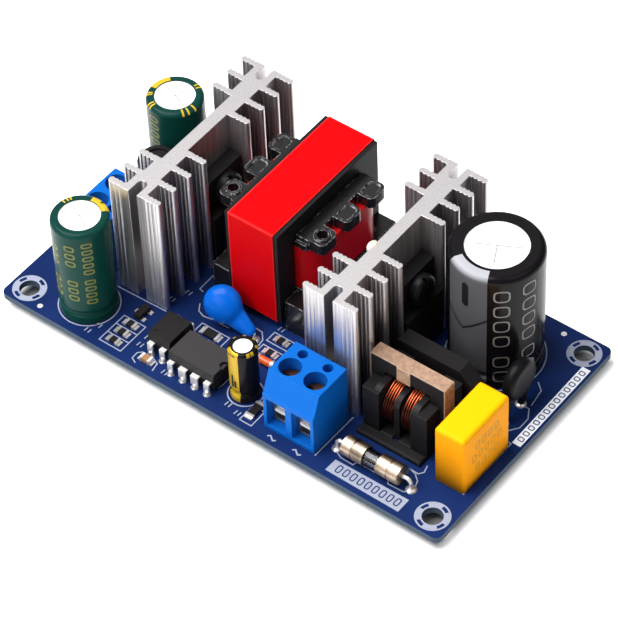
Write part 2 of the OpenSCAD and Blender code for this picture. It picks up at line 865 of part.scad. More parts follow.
module bobbin_side() {
    top = window_z1 - core_clear;
    // Raised bar beside the upper yoke with three tabs
    translate([side_x, -flange_y + 0.5, top - flange_t])
        cube([tab_root - side_x, 2 * flange_y - 1, flange_t + 1]);
    for (k = [-1 : 1]) {
        translate([tab_root - 0.5, k * tab_step, top + 1 - tabs_h]) difference() {
            union() {
                linear_extrude(tabs_h) {
                    translate([0, -tab_w / 2]) square([tab_reach - tab_r, tab_w]);
                    translate([0, -tab_w / 2 + tab_r]) square([tab_reach, tab_w - 2 * tab_r]);
                    for (s = [-1, 1]) {
                        translate([tab_reach - tab_r, s * (tab_w / 2 - tab_r)]) circle(tab_r);
                    }
                }
                if (k == -1) {
                    translate([collar_x, 0, 0]) cylinder(h = tabs_h + collar_h, d = collar_d);
                }
            }
            if (k == -1) {
                translate([collar_x, 0, -1]) cylinder(h = tabs_h + 2, d = collar_hole_d);
            } else {
                translate([collar_x, 0, tabs_h - dish_depth]) linear_extrude(1)
                    rounded(tab_reach - 1.2, tab_w - 1, tab_r - 0.3);
            }
        }
    }
    // Pin rail on two feet
    difference() {
        union() {
            translate([side_x, -rail_y, 0.5]) cube([rail_x - side_x, 2 * rail_y, window_z0 + 0.8 - 0.5]);
            for (s = [-1, 1]) {
                translate([side_x, s * (rail_y - 1) - 1, 0]) cube([rail_x - side_x, 2, 1]);
            }
        }
        for (k = [-2 : 2]) {
            translate([pin_x, k * pin_step, -1]) cylinder(h = 5, r = pin_r + fit);
        }
    }
}

module transformer_bobbin() {
    tube_x = side_x + bobbin_wall;
    tube_y = centre_leg / 2 + core_clear + bobbin_wall;
    color([0.12, 0.1, 0.1]) on_board(core_x, core_y) {
        difference() {
            union() {
                translate([-tube_x, -tube_y, window_z0 + core_clear])
                    cube([2 * tube_x, 2 * tube_y, window_z1 - window_z0 - 2 * core_clear]);
                translate([-tab_root, -flange_y, window_z0 + core_clear])
                    cube([2 * tab_root, 2 * flange_y, flange_t]);
                translate([-tab_root, -flange_y, window_z1 - core_clear - flange_t])
                    cube([2 * tab_root, 2 * flange_y, flange_t]);
            }
            translate([-side_x, -tube_y + bobbin_wall, 0])
                cube([2 * side_x, 2 * (tube_y - bobbin_wall), core_z + core_h]);
        }
        bobbin_side();
        rotate([0, 0, 180]) mirror([0, 1, 0]) bobbin_side();
    }
}

module transformer_winding() {
    z0 = window_z0 + core_clear + flange_t + run_clear;
    z1 = window_z1 - core_clear - flange_t - run_clear;
    inner_x = 2 * (side_x + bobbin_wall + fit);
    inner_y = centre_leg + 2 * (core_clear + bobbin_wall + fit);
    color([0.45, 0.03, 0.04]) on_board(core_x, core_y, z0) linear_extrude(z1 - z0) difference() {
        rounded(2 * winding_x, 2 * flange_y - 0.4, 4);
        square([inner_x, inner_y], center = true);
    }
}

module bobbin_pins() {
    color([0.78, 0.78, 0.78]) {
        round_leads(bobbin_leads, pin_top);
        round_leads(choke_leads, choke_pin_top);
    }
}

// Blue disc capacitor, leaning on its leads

module disc_capacitor() {
    x0 = y_leads[0][0] - y_disc_x;
    x1 = y_leads[1][0] - y_disc_x;
    color([0.08, 0.36, 0.78]) on_board(y_disc_x, y_disc_y) difference() {
        union() {
            translate([0, 0, y_disc_z]) rotate([42, -18, 0]) translate([0, 0, -y_disc_t / 2])
                rounded_disc(y_disc_d, y_disc_t, y_disc_t * 0.45);
            rod([0.4, 0, y_disc_z - 0.4], [x1, 0, 0.95], 2.4, 0.9);
            rod([-0.6, 0, y_disc_z - 0.8], [x0, 0, 0.8], 1.8, 0.7);
        }
        for (x = [x0, x1]) {
            translate([x, 0, 0]) cylinder(h = 1.6, r = 0.3 + fit);
        }
    }
}

// Chips in dual in-line packages

module dip_body(l, w) {
    for (s = [0, 1]) {
        translate([0, 0, dip_waist]) mirror([0, 0, s]) along_x_axis(l) polygon([
            [-w / 2, 0], [w / 2, 0], [w / 2 - 0.35, 1.75], [-w / 2 + 0.35, 1.75]]);
    }
}

module dip_lead(w) {
    y0 = dip_w / 2 - 0.35;
    y1 = dip_row_y - dip_lead_t / 2;
    translate([-w / 2, y0, dip_waist - 0.15]) cube([w, y1 + dip_lead_t - y0, 0.3]);
    translate([-w / 2, y1, 0.5]) cube([w, dip_lead_t, dip_waist + 0.15 - 0.5]);
    translate([-0.25, y1, -board_t - lead_out]) cube([0.5, dip_lead_t, board_t + lead_out + 1]);
}

module dip_pockets(n) {
    for (i = [0 : n - 1], s = [0, 180]) {
        rotate([0, 0, s])
            translate([(i - (n - 1) / 2) * dip_pitch - 0.8, dip_w / 2 - 0.35 - fit, dip_waist - 0.15 - fit])
                cube([1.6, 2, 0.3 + 2 * fit]);
    }
}

module dip_row(n) {
    for (i = [0 : n - 1], s = [0, 180]) {
        rotate([0, 0, s]) translate([(i - (n - 1) / 2) * dip_pitch, 0, 0])
            dip_lead(i == 0 || i == n - 1 ? 1.1 : 1.5);
    }
}

module controller() {
    color([0.07, 0.07, 0.08]) on_board(chip_x, chip_y) difference() {
        dip_body(chip_l, dip_w);
        dip_pockets(4);
        translate([chip_l / 2, 0, 3.6]) cylinder(h = 2, d = 1.6);
    }
}

module optocoupler() {
    color([0.07, 0.07, 0.08]) on_board(opto_x, opto_y) difference() {
        dip_body(opto_l, dip_w);
        dip_pockets(2);
        translate([-opto_l / 2 + 1.1, -2.1, 4.05]) cylinder(h = 1, d = 0.9);
    }
}

module dip_leads() {
    color([0.8, 0.8, 0.8]) {
        on_board(chip_x, chip_y) dip_row(4);
        on_board(opto_x, opto_y) dip_row(2);
    }
}

module radial_leads() {
    color([0.8, 0.8, 0.8]) {
        round_leads(y_leads, 1.5);
        round_leads(box_leads, 0);
        round_leads(disc_leads, 1 - fit);
    }
}

// Axial fuse: a glass tube in two caps, on one wire that is bent down at both ends

module at_fuse() {
    on_board(fuse_x, fuse_y, fuse_z) rotate([0, 90, 0]) children();
}

module fuse_tube() {
    color([0.85, 0.9, 0.92, 0.5]) at_fuse() difference() {
        cylinder(h = fuse_l - 1, d = fuse_d - 0.6 - 2 * fit, center = true);
        cylinder(h = fuse_l, d = fuse_d - 1.6, center = true);
    }
}

module fuse_caps() {
    color([0.8, 0.8, 0.78])
    for (s = [0, 180]) {
        at_fuse() rotate([s, 0, 0]) translate([0, 0, fuse_l / 2 - cap_l]) difference() {
            union() {
                cylinder(h = cap_l, d = fuse_d - 2 * cap_ring_depth);
                cylinder(h = cap_l - cap_ring_z - cap_ring_w, d = fuse_d);
                translate([0, 0, cap_l - cap_ring_z]) cylinder(h = cap_ring_z, d = fuse_d);
            }
            translate([0, 0, -1]) cylinder(h = cap_l + 1 - 0.45, d = fuse_d - 0.6);
            cylinder(h = cap_l + 1, r = 0.35 + fit);
        }
    }
}

module fuse_wire() {
    bend = 0.9;
    color([0.8, 0.8, 0.8]) {
        at_fuse() cylinder(h = fuse_l - 1, d = 0.24, center = true);
        for (s = [-1, 1]) {
            at_fuse() translate([0, 0, s * (fuse_l / 2 + fuse_lead_x - bend) / 2])
                cylinder(h = fuse_lead_x - bend - fuse_l / 2 + 1, r = 0.35, center = true);
            on_board(fuse_x + s * fuse_lead_x, fuse_y, -board_t - lead_out)
                cylinder(h = board_t + lead_out + fuse_z - bend, r = 0.35);
            on_board(fuse_x + s * (fuse_lead_x - bend), fuse_y, fuse_z - bend)
                rotate([90, 0, 0]) rotate([0, s > 0 ? 0 : 180, 0])
                    rotate_extrude(angle = 90) translate([bend, 0]) circle(0.35);
        }
    }
}

// Mains choke: a ferrite loop in two halves, its lower leg in a wound bobbin

module choke_half() {
    along_y_axis(choke_t) {
        square([choke_l / 2, choke_leg]);
        translate([0, choke_h - choke_leg]) square([choke_l / 2, choke_leg]);
        translate([choke_l / 2 - choke_leg, 0]) square([choke_leg, choke_h]);
    }
}

module choke_core() {
    color([0.17, 0.17, 0.18]) on_board(choke_x, choke_y, choke_z) {
        choke_half();
        mirror([1, 0, 0]) choke_half();
    }
}

module choke_tape() {
    color([0.72, 0.5, 0.25]) on_board(choke_x, choke_y, choke_z) {
        along_y_axis(choke_t - 0.1) difference() {
            translate([0, choke_h / 2]) rounded(choke_l + 2 * tape_t, choke_h + 2 * tape_t, tape_t);
            translate([-choke_l / 2 - fit, -fit]) square([choke_l + 2 * fit, choke_h + 2 * fit]);
            translate([-choke_l / 2 + 0.4, -1]) square([choke_l - 0.8, 2]);
        }
        // Loose end folded down over the front of the loop
        translate([tape_end_x, -choke_t / 2 - fit - tape_t, choke_h + tape_t - tape_end_h]) {
            cube([tape_end_w, tape_t, tape_end_h]);
            translate([0, 0, tape_end_h - tape_t + fit]) cube([tape_end_w, 2 * tape_t, tape_t - fit]);
        }
    }
}

module choke_flange_plate(t, reach) {
    along_x_axis(t) difference() {
        union() {
            translate([-reach, 0]) square([2 * reach, choke_axis_z + reach - 2]);
            translate([-reach + 2, 0]) square([2 * reach - 4, choke_axis_z + reach]);
            for (s = [-1, 1]) {
                translate([s * (reach - 2), choke_axis_z + reach - 2]) circle(2);
            }
        }
        translate([0, choke_axis_z])
            square([choke_t + 2 * choke_clear, choke_leg + 2 * choke_clear], center = true);
    }
}

module choke_bobbin() {
    post_y = choke_t / 2 + choke_clear;
    post_h = choke_axis_z + choke_flange - 0.6;
    color([0.06, 0.06, 0.07]) on_board(choke_x, choke_y) difference() {
        union() {
            for (s = [-1, 1]) {
                translate([s * (choke_reach - choke_flange_t / 2), 0, 0])
                    choke_flange_plate(choke_flange_t, choke_flange);
                for (k = [0, 1]) {
                    translate([s > 0 ? choke_reach - choke_flange_t : -choke_reach - 2, 0, 0])
                        mirror([0, k, 0]) translate([0, post_y, 0])
                            cube([choke_flange_t + 2, choke_flange - post_y, post_h]);
                }
            }
            choke_flange_plate(choke_divider, choke_wire_d / 2 - 0.1);
            translate([0, 0, choke_axis_z]) along_x_axis(2 * choke_reach) difference() {
                square([choke_t + 2 * (choke_clear + choke_wall), choke_leg + 2 * (choke_clear + choke_wall)],
                    center = true);
                square([choke_t + 2 * choke_clear, choke_leg + 2 * choke_clear], center = true);
            }
        }
        for (s = [-1, 1], k = [-1, 1]) {
            translate([s * choke_pin_x, k * choke_pin_y, -1]) cylinder(h = 3.6, r = 0.35 + fit);
        }
    }
}

module choke_windings() {
    inner = norm([choke_t / 2 + choke_clear + choke_wall, choke_leg / 2 + choke_clear + choke_wall]) + fit;
    width = choke_reach - choke_flange_t - choke_divider / 2 - 2 * run_clear;
    turns = 5;
    color([0.72, 0.36, 0.14])
    for (s = [-1, 1]) {
        on_board(choke_x + s * (choke_divider / 2 + run_clear + width / 2), choke_y, choke_axis_z)
            rotate([0, 90, 0]) translate([0, 0, -width / 2]) rotate_extrude() {
                translate([inner, 0]) square([choke_wire_d / 2 - inner - width / turns / 2, width]);
                for (i = [0 : turns - 1]) {
                    translate([choke_wire_d / 2 - width / turns / 2, (i + 0.5) * width / turns])
                        circle(d = width / turns);
                }
            }
    }
}

module bridge_rectifier() {
    cut = 2.4;
    color([0.08, 0.08, 0.09]) on_board(bridge_x, bridge_y, bridge_z) along_y_axis(bridge_t) polygon([
        [-bridge_l / 2, 0], [bridge_l / 2, 0], [bridge_l / 2, bridge_h - cut],
        [bridge_l / 2 - cut, bridge_h], [-bridge_l / 2, bridge_h]]);
}

module bridge_leads() {
    color([0.8, 0.8, 0.8])
    for (p = bridge_leads_at) {
        on_board(p[0] - bridge_lead_w / 2, p[1] - bridge_lead_t / 2, -board_t - lead_out)
            cube([bridge_lead_w, bridge_lead_t, board_t + lead_out + bridge_z]);
    }
}

module box_capacitor() {
    color([0.92, 0.72, 0.08]) on_board(box_x, box_y) {
        linear_extrude(box_h - 0.3) rounded(box_t, box_l, 0.4);
        linear_extrude(box_h) rounded(box_t - 0.6, box_l - 0.6, 0.3);
    }
}

module thermistor() {
    shift = disc_z * tan(disc_lean);
    color([0.1, 0.1, 0.1]) on_board(disc_x, disc_y) difference() {
        union() {
            translate([0, shift, disc_z]) rotate([0, 90, 0]) translate([0, 0, -disc_t / 2])
                rounded_disc(disc_d, disc_t, disc_t * 0.45);
            for (s = [-1, 1]) {
                rod([0, shift + s * disc_d * 0.3, disc_z - disc_d * 0.25],
                    [0, s * disc_lead_y, 0.4], 0.9, 0.6);
            }
        }
        for (s = [-1, 1]) {
            translate([0, s * disc_lead_y, 0]) cylinder(h = 1, r = 0.3 + fit);
        }
    }
}

// Chip parts: a body and two end caps, soldered flat on the board

module chip(l, w, h) {
    translate([0, 0, h / 2]) {
        cube([l - 0.6, w - 0.06, h - 0.08], center = true);
        for (s = [-1, 1]) {
            translate([s * (l / 2 - 0.2), 0, 0]) cube([0.4, w, h], center = true);
        }
    }
}

module chip_resistors() {
    color([0.1, 0.1, 0.1]) {
        for (k = [0 : 2]) {
            on_board(smd_row_x, smd_row_y + k * smd_step) chip(smd_l, smd_w, smd_h);
        }
        on_board(core_x - 3.7, core_y - core_l / 2 - 7.5) chip(big_smd_l, big_smd_w, smd_h);
        on_board(core_x + 6.8, core_y - core_l / 2 - 1.9) chip(smd_l, smd_w, smd_h);
        on_board(core_x + 6.9, core_y - core_l / 2 - 5.1) chip(smd_l, smd_w, smd_h);
        on_board(in_term_x - 3.2, 4.3) rotate([0, 0, 90]) chip(big_smd_l, big_smd_w, smd_h);
    }
}

module chip_capacitor() {
    color([0.45, 0.3, 0.2]) on_board(opto_x - 0.95, 2.4) chip(smd_l, smd_w, 0.9);
}

module voltage_reference() {
    color([0.07, 0.07, 0.08]) on_board(smd_row_x, smd_row_y + 2 * smd_step + 3.1) {
        translate([-0.65, -1.45, 0.1]) cube([1.3, 2.9, 0.95]);
        for (p = [[0.9, -0.95], [0.9, 0.95], [-0.9, 0]]) {
            translate([p[0] - 0.35, p[1] - 0.22, 0]) cube([0.7, 0.44, 0.2]);
            translate([p[0] * 0.8 - 0.12, p[1] - 0.22, 0]) cube([0.24, 0.44, 0.6]);
        }
    }
}

module glass_diode() {
    color([0.8, 0.35, 0.1]) on_board(diode_x, diode_y, diode_cap_d / 2) rotate([0, 90, 0]) {
        cylinder(h = diode_l, d = diode_d, center = true);
        for (s = [-1, 1]) {
            translate([0, 0, s * (diode_l - diode_cap_l) / 2])
                cylinder(h = diode_cap_l, d = diode_cap_d, center = true);
        }
    }
}

circuit_board();
solder_joints();
input_terminal();
output_terminal();
terminal_contacts();
input_clamp_a();
input_clamp_b();
output_clamp_a();
output_clamp_b();
input_screw_a();
input_screw_b();
output_screw_a();
output_screw_b();
bulk_can();
bulk_sleeve();
front_can();
front_sleeve();
rear_can();
rear_sleeve();
supply_can();
supply_sleeve();
capacitor_bungs();
capacitor_leads();
inductor_core();
inductor_winding();
inductor_sleeve();
secondary_heatsink();
primary_heatsink();
heatsink_pins();
rectifier_body();
rectifier_leads();
transistor_body();
transistor_leads();
device_screws();
upper_core();
lower_core();
transformer_bobbin();
transformer_winding();
core_tape();
bobbin_pins();
disc_capacitor();
optocoupler();
controller();
dip_leads();
radial_leads();
fuse_tube();
fuse_caps();
fuse_wire();
choke_core();
choke_tape();
choke_bobbin();
choke_windings();
bridge_rectifier();
bridge_leads();
box_capacitor();
thermistor();
chip_resistors();
chip_capacitor();
voltage_reference();
glass_diode();
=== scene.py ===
import json
import math

import bpy
from mathutils import Matrix, Vector


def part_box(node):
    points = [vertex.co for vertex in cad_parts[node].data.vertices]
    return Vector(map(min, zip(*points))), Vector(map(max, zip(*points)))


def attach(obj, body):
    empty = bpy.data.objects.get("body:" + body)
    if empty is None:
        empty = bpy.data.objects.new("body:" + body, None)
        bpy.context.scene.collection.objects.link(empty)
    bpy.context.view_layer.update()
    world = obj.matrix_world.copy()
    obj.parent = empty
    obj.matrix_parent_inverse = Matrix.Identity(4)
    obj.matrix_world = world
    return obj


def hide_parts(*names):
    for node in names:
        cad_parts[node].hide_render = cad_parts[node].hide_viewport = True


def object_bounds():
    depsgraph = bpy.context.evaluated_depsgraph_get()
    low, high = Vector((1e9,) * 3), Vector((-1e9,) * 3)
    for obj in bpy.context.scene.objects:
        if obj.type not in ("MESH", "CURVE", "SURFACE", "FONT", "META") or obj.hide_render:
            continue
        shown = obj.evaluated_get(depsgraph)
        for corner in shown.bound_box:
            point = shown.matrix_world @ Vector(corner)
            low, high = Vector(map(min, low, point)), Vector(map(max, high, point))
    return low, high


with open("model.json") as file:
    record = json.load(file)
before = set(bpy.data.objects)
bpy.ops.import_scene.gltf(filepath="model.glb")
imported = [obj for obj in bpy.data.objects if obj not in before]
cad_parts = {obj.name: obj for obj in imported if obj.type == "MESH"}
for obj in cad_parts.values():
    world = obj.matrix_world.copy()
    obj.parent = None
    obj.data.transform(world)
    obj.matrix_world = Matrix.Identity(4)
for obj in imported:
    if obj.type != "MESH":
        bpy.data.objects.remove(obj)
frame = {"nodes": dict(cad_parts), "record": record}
nodes = frame["nodes"]
cad_lo, cad_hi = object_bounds()
board_lo, board_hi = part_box("circuit_board")

MM = 0.001
LIFT = 0.03      # height of print over the face it lies on, mm
OVER = 2 * LIFT  # height of print that lies on other print
LINE_W = 0.2     # usual width of a printed line, mm
ARC_STEP = 5     # degrees between the points of a printed arc
GAP = 0.02       # small gap that keeps faces apart, mm
SPECK = 0.02     # least radius, in mm or as a share, where a rounded form closes
PLATING = 0.03   # how far a soldered cap stands over the body it covers, mm
CORNERS = ((-1, -1), (1, -1), (1, 1), (-1, 1))  # signs of an oblong's corners
board_l, board_w, _ = (board_hi - board_lo) / MM


def at(x, y, z=0.0):
    """Point x, y mm from the board's left front corner and z mm over its upper face, in the part's frame."""
    return Vector((board_lo.x + x * MM, board_lo.y + y * MM, board_hi.z + z * MM))


def middle(node):
    """Middle of a CAD node in board millimetres, and its size."""
    lo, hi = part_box(node)
    c = (lo + hi) / 2
    return (c.x - board_lo.x) / MM, (c.y - board_lo.y) / MM, (c.z - board_hi.z) / MM, (hi - lo) / MM


def round_turn(n):
    """Angles of n even steps round a circle."""
    return [2 * math.pi * k / n for k in range(n)]


def placed(name, data):
    """New object in the scene."""
    o = bpy.data.objects.new(name, data)
    bpy.context.scene.collection.objects.link(o)
    return o


# Materials

NOISE_SPAN = (0.35, 0.65)    # noise values that a spread of tones runs through
FLECK_SPAN = (0.45, 0.6)     # noise values at which the patchy painted edge highlight sets in
EDGE_SPAN = (0.99, 0.85)     # cosine between a face and its rounded edge, where the painted edge highlight sets in
UPRIGHT_SPAN = (0.95, 0.3)   # upward part of the normal, from level to upright faces
LIT_TOP_SPAN = (0.9, 0.98)     # upward part of the normal, where a face counts as level
LIT_TOP_SHARE = 0.6            # share of the painted light of the top colour on a level face
SHELTER_SPAN = (0.75, 0.25)  # open share of the surroundings, from open to sheltered, over which the painted nook shade sets in
SHELTER_REACH = 6 * MM       # how far away a face still gives shelter
GRAIN_DEPTH = 0.1 * MM       # height of the noise that bump follows


def ramp(tree, value, span, low=0.0, high=1.0):
    """Socket that goes from low to high as the socket value goes through span."""
    n = tree.nodes.new("ShaderNodeMapRange")
    for key, number in zip(("From Min", "From Max", "To Min", "To Max"), (*span, low, high)):
        n.inputs[key].default_value = number
    tree.links.new(value, n.inputs["Value"])
    return n.outputs["Result"]


def operate(tree, kind, operation, *values):
    """Math or VectorMath node fed by sockets."""
    n = tree.nodes.new("ShaderNode" + kind)
    n.operation = operation
    for value, socket in zip(values, n.inputs):
        tree.links.new(value, socket)
    return n


def shader(name, colour, rough=0.5, metal=0.0, gloss=0.2, bevel=0.0, wear=None, patchy=False, sides=None,
           turn=UPRIGHT_SPAN, top=None, nook=None, bump=0.0, spread=0.0, scale=900.0, stretch=1.0, **more):
    """Principled material.

    bevel rounds the edges in the shading, in millimetres, and the edge highlight colours them lighter as a
    painted highlight, in flecks where patchy.
    sides colours upright faces, turn being the span of normals over which it sets in, top paints light on
    level faces as a lighter colour, and the nook shade paints shade on sheltered ones. spread and bump
    follow one noise of that scale, which a stretch under 1 draws out along z. more holds other sockets, with
    underscores for spaces.
    """
    m = bpy.data.materials.new(name)
    m.use_nodes = True
    tree = m.node_tree
    p = tree.nodes["Principled BSDF"]
    values = {"Base Color": (*colour, 1), "Roughness": rough, "Metallic": metal, "Specular IOR Level": gloss}
    values.update({key.replace("_", " "): value for key, value in more.items()})
    for key, value in values.items():
        p.inputs[key].default_value = value

    def node(kind, **sockets):
        n = tree.nodes.new("ShaderNode" + kind)
        for key, value in sockets.items():
            n.inputs[key].default_value = value
        return n

    def blend(factor, a, b):
        """Colour between a, a socket or a colour, and the colour b."""
        n = node("Mix")
        n.data_type = "RGBA"
        first, second = n.inputs[6], n.inputs[7]  # the two colours
        tree.links.new(factor, n.inputs[0])
        if isinstance(a, tuple):
            first.default_value = (*a, 1)
        else:
            tree.links.new(a, first)
        second.default_value = (*b, 1)
        return n.outputs[2]

    def facing(a, b, span, most=1.0):
        """Colour going from a to b as the upward part of the surface's normal goes through span."""
        face = node("NewGeometry")
        axes = node("SeparateXYZ")
        tree.links.new(face.outputs["Normal"], axes.inputs["Vector"])
        return blend(ramp(tree, axes.outputs["Z"], span, high=most), a, b)

    tone = colour
    normal = None
    if bump or spread:
        where = node("TexCoord")
        squash = node("Mapping", Scale=(1, 1, stretch))
        noise = node("TexNoise", Scale=scale, Detail=4)
        tree.links.new(where.outputs["Object"], squash.inputs["Vector"])
        tree.links.new(squash.outputs["Vector"], noise.inputs["Vector"])
    if spread:
        darker = tuple(c * (1 - spread) for c in colour)
        lighter = tuple(min(1, c * (1 + spread)) for c in colour)
        tone = blend(ramp(tree, noise.outputs["Fac"], NOISE_SPAN), darker, lighter)
    if sides:
        tone = facing(tone, sides, turn)
    # Painted light: a lighter colour on level faces.
    if top:
        tone = facing(tone, top, LIT_TOP_SPAN, LIT_TOP_SHARE)
    # Painted shade: a darker colour where the part's own faces shelter each other, as between fins.
    if nook:
        shelter = node("AmbientOcclusion", Distance=SHELTER_REACH)
        shelter.only_local = True
        shelter.samples = 8
        tone = blend(ramp(tree, shelter.outputs["AO"], SHELTER_SPAN), tone, nook)
    if bevel:
        round_edge = node("Bevel", Radius=bevel * MM)
        round_edge.samples = 4
        normal = round_edge.outputs["Normal"]
    # Painted highlight: a lighter colour on the rounded edges, in flecks where patchy.
    if wear:
        face = node("NewGeometry")
        bend = operate(tree, "VectorMath", "DOT_PRODUCT", face.outputs["True Normal"], normal)
        edge = ramp(tree, bend.outputs["Value"], EDGE_SPAN)
        if patchy:
            fleck = ramp(tree, noise.outputs["Fac"], FLECK_SPAN)
            edge = operate(tree, "Math", "MULTIPLY", fleck, edge).outputs["Value"]
        tone = blend(edge, tone, wear)
    if bump:
        grain = node("Bump", Strength=bump, Distance=GRAIN_DEPTH)
        tree.links.new(noise.outputs["Fac"], grain.inputs["Height"])
        if normal:
            tree.links.new(normal, grain.inputs["Normal"])
        normal = grain.outputs["Normal"]
    if not isinstance(tone, tuple):
        tree.links.new(tone, p.inputs["Base Color"])
    if normal:
        tree.links.new(normal, p.inputs["Normal"])
    return m


SLOTS = {}


def dress(slot, *look, **details):
    """Material of one slot of the record."""
    SLOTS[slot] = shader(slot, *look, **details)


dress("board_blue", (0.007, 0.022, 0.105), 0.4, gloss=0.05, sides=(0.05, 0.075, 0.11), spread=0.15, scale=60)
dress("solder", (0.75, 0.74, 0.73), 0.35, 0.8)
# Painted highlight: a lighter blue along the rounded edges.
dress("terminal_blue", (0.003, 0.12, 0.5), 0.4, gloss=0.06, bevel=0.18, wear=(0.008, 0.19, 0.66), bump=0.03)
dress("tinned_metal", (0.8, 0.79, 0.77), 0.4, 0.7, bevel=0.06)
dress("screw_metal", (0.26, 0.12, 0.07), 0.28, 1, bevel=0.06, bump=0.15, scale=700)
dress("can_aluminium", (0.97, 0.97, 0.97), 0.45, 0.1, bump=0.03, scale=400)
dress("sleeve_black", (0.007, 0.006, 0.007), 0.2, gloss=0.1)
dress("sleeve_green", (0.003, 0.042, 0.034), 0.25, gloss=0.09)
dress("bung_rubber", (0.02, 0.02, 0.02), 0.8)
dress("ferrite", (0.013, 0.012, 0.013), 0.5, gloss=0.12, bevel=0.2, bump=0.05)
# Painted shade: the turns darken to near black below their tops.
dress("copper_wire", (0.82, 0.15, 0.05), 0.3, 0.6, sides=(0.05, 0.009, 0.005), turn=(0.9, 0.55))
dress("shrink_black", (0.012, 0.012, 0.012), 0.4)
# Painted light and shade: a lighter colour on level tops, a painted highlight on rounded edges and painted
# shade between the fins; the drawn-out grain is the metal's own.
dress("sink_aluminium", (0.64, 0.61, 0.61), 0.36, 0.92, bevel=0.12, wear=(0.9, 0.87, 0.87),
      top=(0.76, 0.725, 0.73), nook=(0.3, 0.275, 0.285), bump=0.08, spread=0.22, scale=3500, stretch=0.02)
dress("mould_black", (0.014, 0.0125, 0.013), 0.5, gloss=0.12, bevel=0.12, bump=0.06)
dress("black_steel", (0.01, 0.01, 0.011), 0.4, 0.3, bevel=0.1)
# Painted highlight: a pale colour in flecks along the rounded edges.
dress("bobbin_black", (0.01, 0.009, 0.01), 0.2, gloss=0.4, bevel=0.28, wear=(0.62, 0.62, 0.64), patchy=True,
      bump=0.35, scale=1500)
# Painted shade on the upright faces, darker than the lit top, and a painted highlight along the rounded
# edges.
dress("tape_red", (0.82, 0.001, 0.003), 0.35, gloss=0.04, sides=(0.56, 0.001, 0.003), bevel=0.45,
      wear=(0.95, 0.07, 0.06), bump=0.04, scale=200)
dress("winding_red", (0.5, 0.004, 0.007), 0.25, gloss=0.15, bevel=0.3, bump=0.15, scale=500)
# Painted highlight: a paler tan along the rounded edges.
dress("tape_tan", (0.4, 0.25, 0.17), 0.35, gloss=0.2, bevel=0.25, wear=(0.7, 0.52, 0.42), bump=0.06,
      spread=0.2, scale=1200)
dress("disc_blue", (0.002, 0.115, 0.58), 0.2, gloss=0.12)
# Painted shade: the upright faces are darker and more orange than the lit top.
dress("box_yellow", (0.98, 0.52, 0.003), 0.45, gloss=0.03, sides=(0.86, 0.32, 0.003), bump=0.04)
dress("disc_black", (0.007, 0.007, 0.008), 0.3, gloss=0.08, bevel=0.3)
dress("fuse_glass", (0.4, 0.4, 0.42), 0.04, Transmission_Weight=1.0, IOR=1.5)
dress("fuse_metal", (0.42, 0.33, 0.25), 0.34, 1, bevel=0.1, bump=0.6, spread=0.45, scale=380)
dress("chip_black", (0.012, 0.012, 0.013), 0.4)
dress("chip_tan", (0.36, 0.17, 0.08), 0.45)
dress("glass_orange", (0.7, 0.1, 0.02), 0.15, gloss=0.4)

chip_grey = shader("chip_grey", (0.036, 0.034, 0.036), 0.5, sides=(0.012, 0.012, 0.013), bevel=0.12,
                   bump=0.06)
# Painted highlight: a faint lighter colour along the rounded edges.
dull_black = shader("dull_black", (0.012, 0.011, 0.012), 0.45, gloss=0.15, bevel=0.15,
                    wear=(0.035, 0.035, 0.037), bump=0.12, scale=500)
clamp_metal = shader("clamp_metal", (0.5, 0.47, 0.44), 0.3, 1, bevel=0.06, bump=0.1, scale=500)
silk_white = shader("silk_white", (0.33, 0.36, 0.46), 0.6)
# Painted light: a brighter copy of the print's white, for the plate on the right, which lies in shade.
lit_plate_white = shader("lit_plate_white", (0.9, 0.93, 1.0), 0.6)
# Painted shade: near-black copper for the coil cores, which shows between the turns.
shaded_copper = shader("shaded_copper", (0.03, 0.008, 0.005), 0.5, 0.3)
print_blue = shader("print_blue", (0.007, 0.022, 0.105), 0.5)
# Painted light and shade: the stripe is light where it lies level on the rim and dark on the upright sleeve.
print_grey = shader("print_grey", (0.44, 0.44, 0.48), 0.35, gloss=0.1, sides=(0.09, 0.09, 0.1))
print_pale = shader("print_pale", (0.22, 0.21, 0.2), 0.4)
print_gold = shader("print_gold", (0.14, 0.15, 0.025), 0.35)
print_yellow = shader("print_yellow", (0.6, 0.42, 0.02), 0.35)
print_brass = shader("print_brass", (0.52, 0.33, 0.014), 0.3, 0.3)
print_black = shader("print_black", (0.01, 0.01, 0.01), 0.4)
score_grey = shader("score_grey", (0.2, 0.195, 0.195), 0.5)
print_brown = shader("print_brown", (0.5, 0.25, 0.012), 0.5)
glue_cream = shader("glue_cream", (0.95, 0.84, 0.66), 0.3, Subsurface_Weight=0.2, Subsurface_Scale=1 * MM)

for part in frame["record"]["subparts"]:
    mesh = nodes[part["node"]].data
    mesh.materials.clear()
    mesh.materials.append(SLOTS[part["material_slot"]])
nodes["controller"].data.materials[0] = chip_grey
for way in ("input_clamp_a", "input_clamp_b", "output_clamp_a", "output_clamp_b"):
    nodes[way].data.materials[0] = clamp_metal
nodes["choke_bobbin"].data.materials[0] = dull_black


# Builders

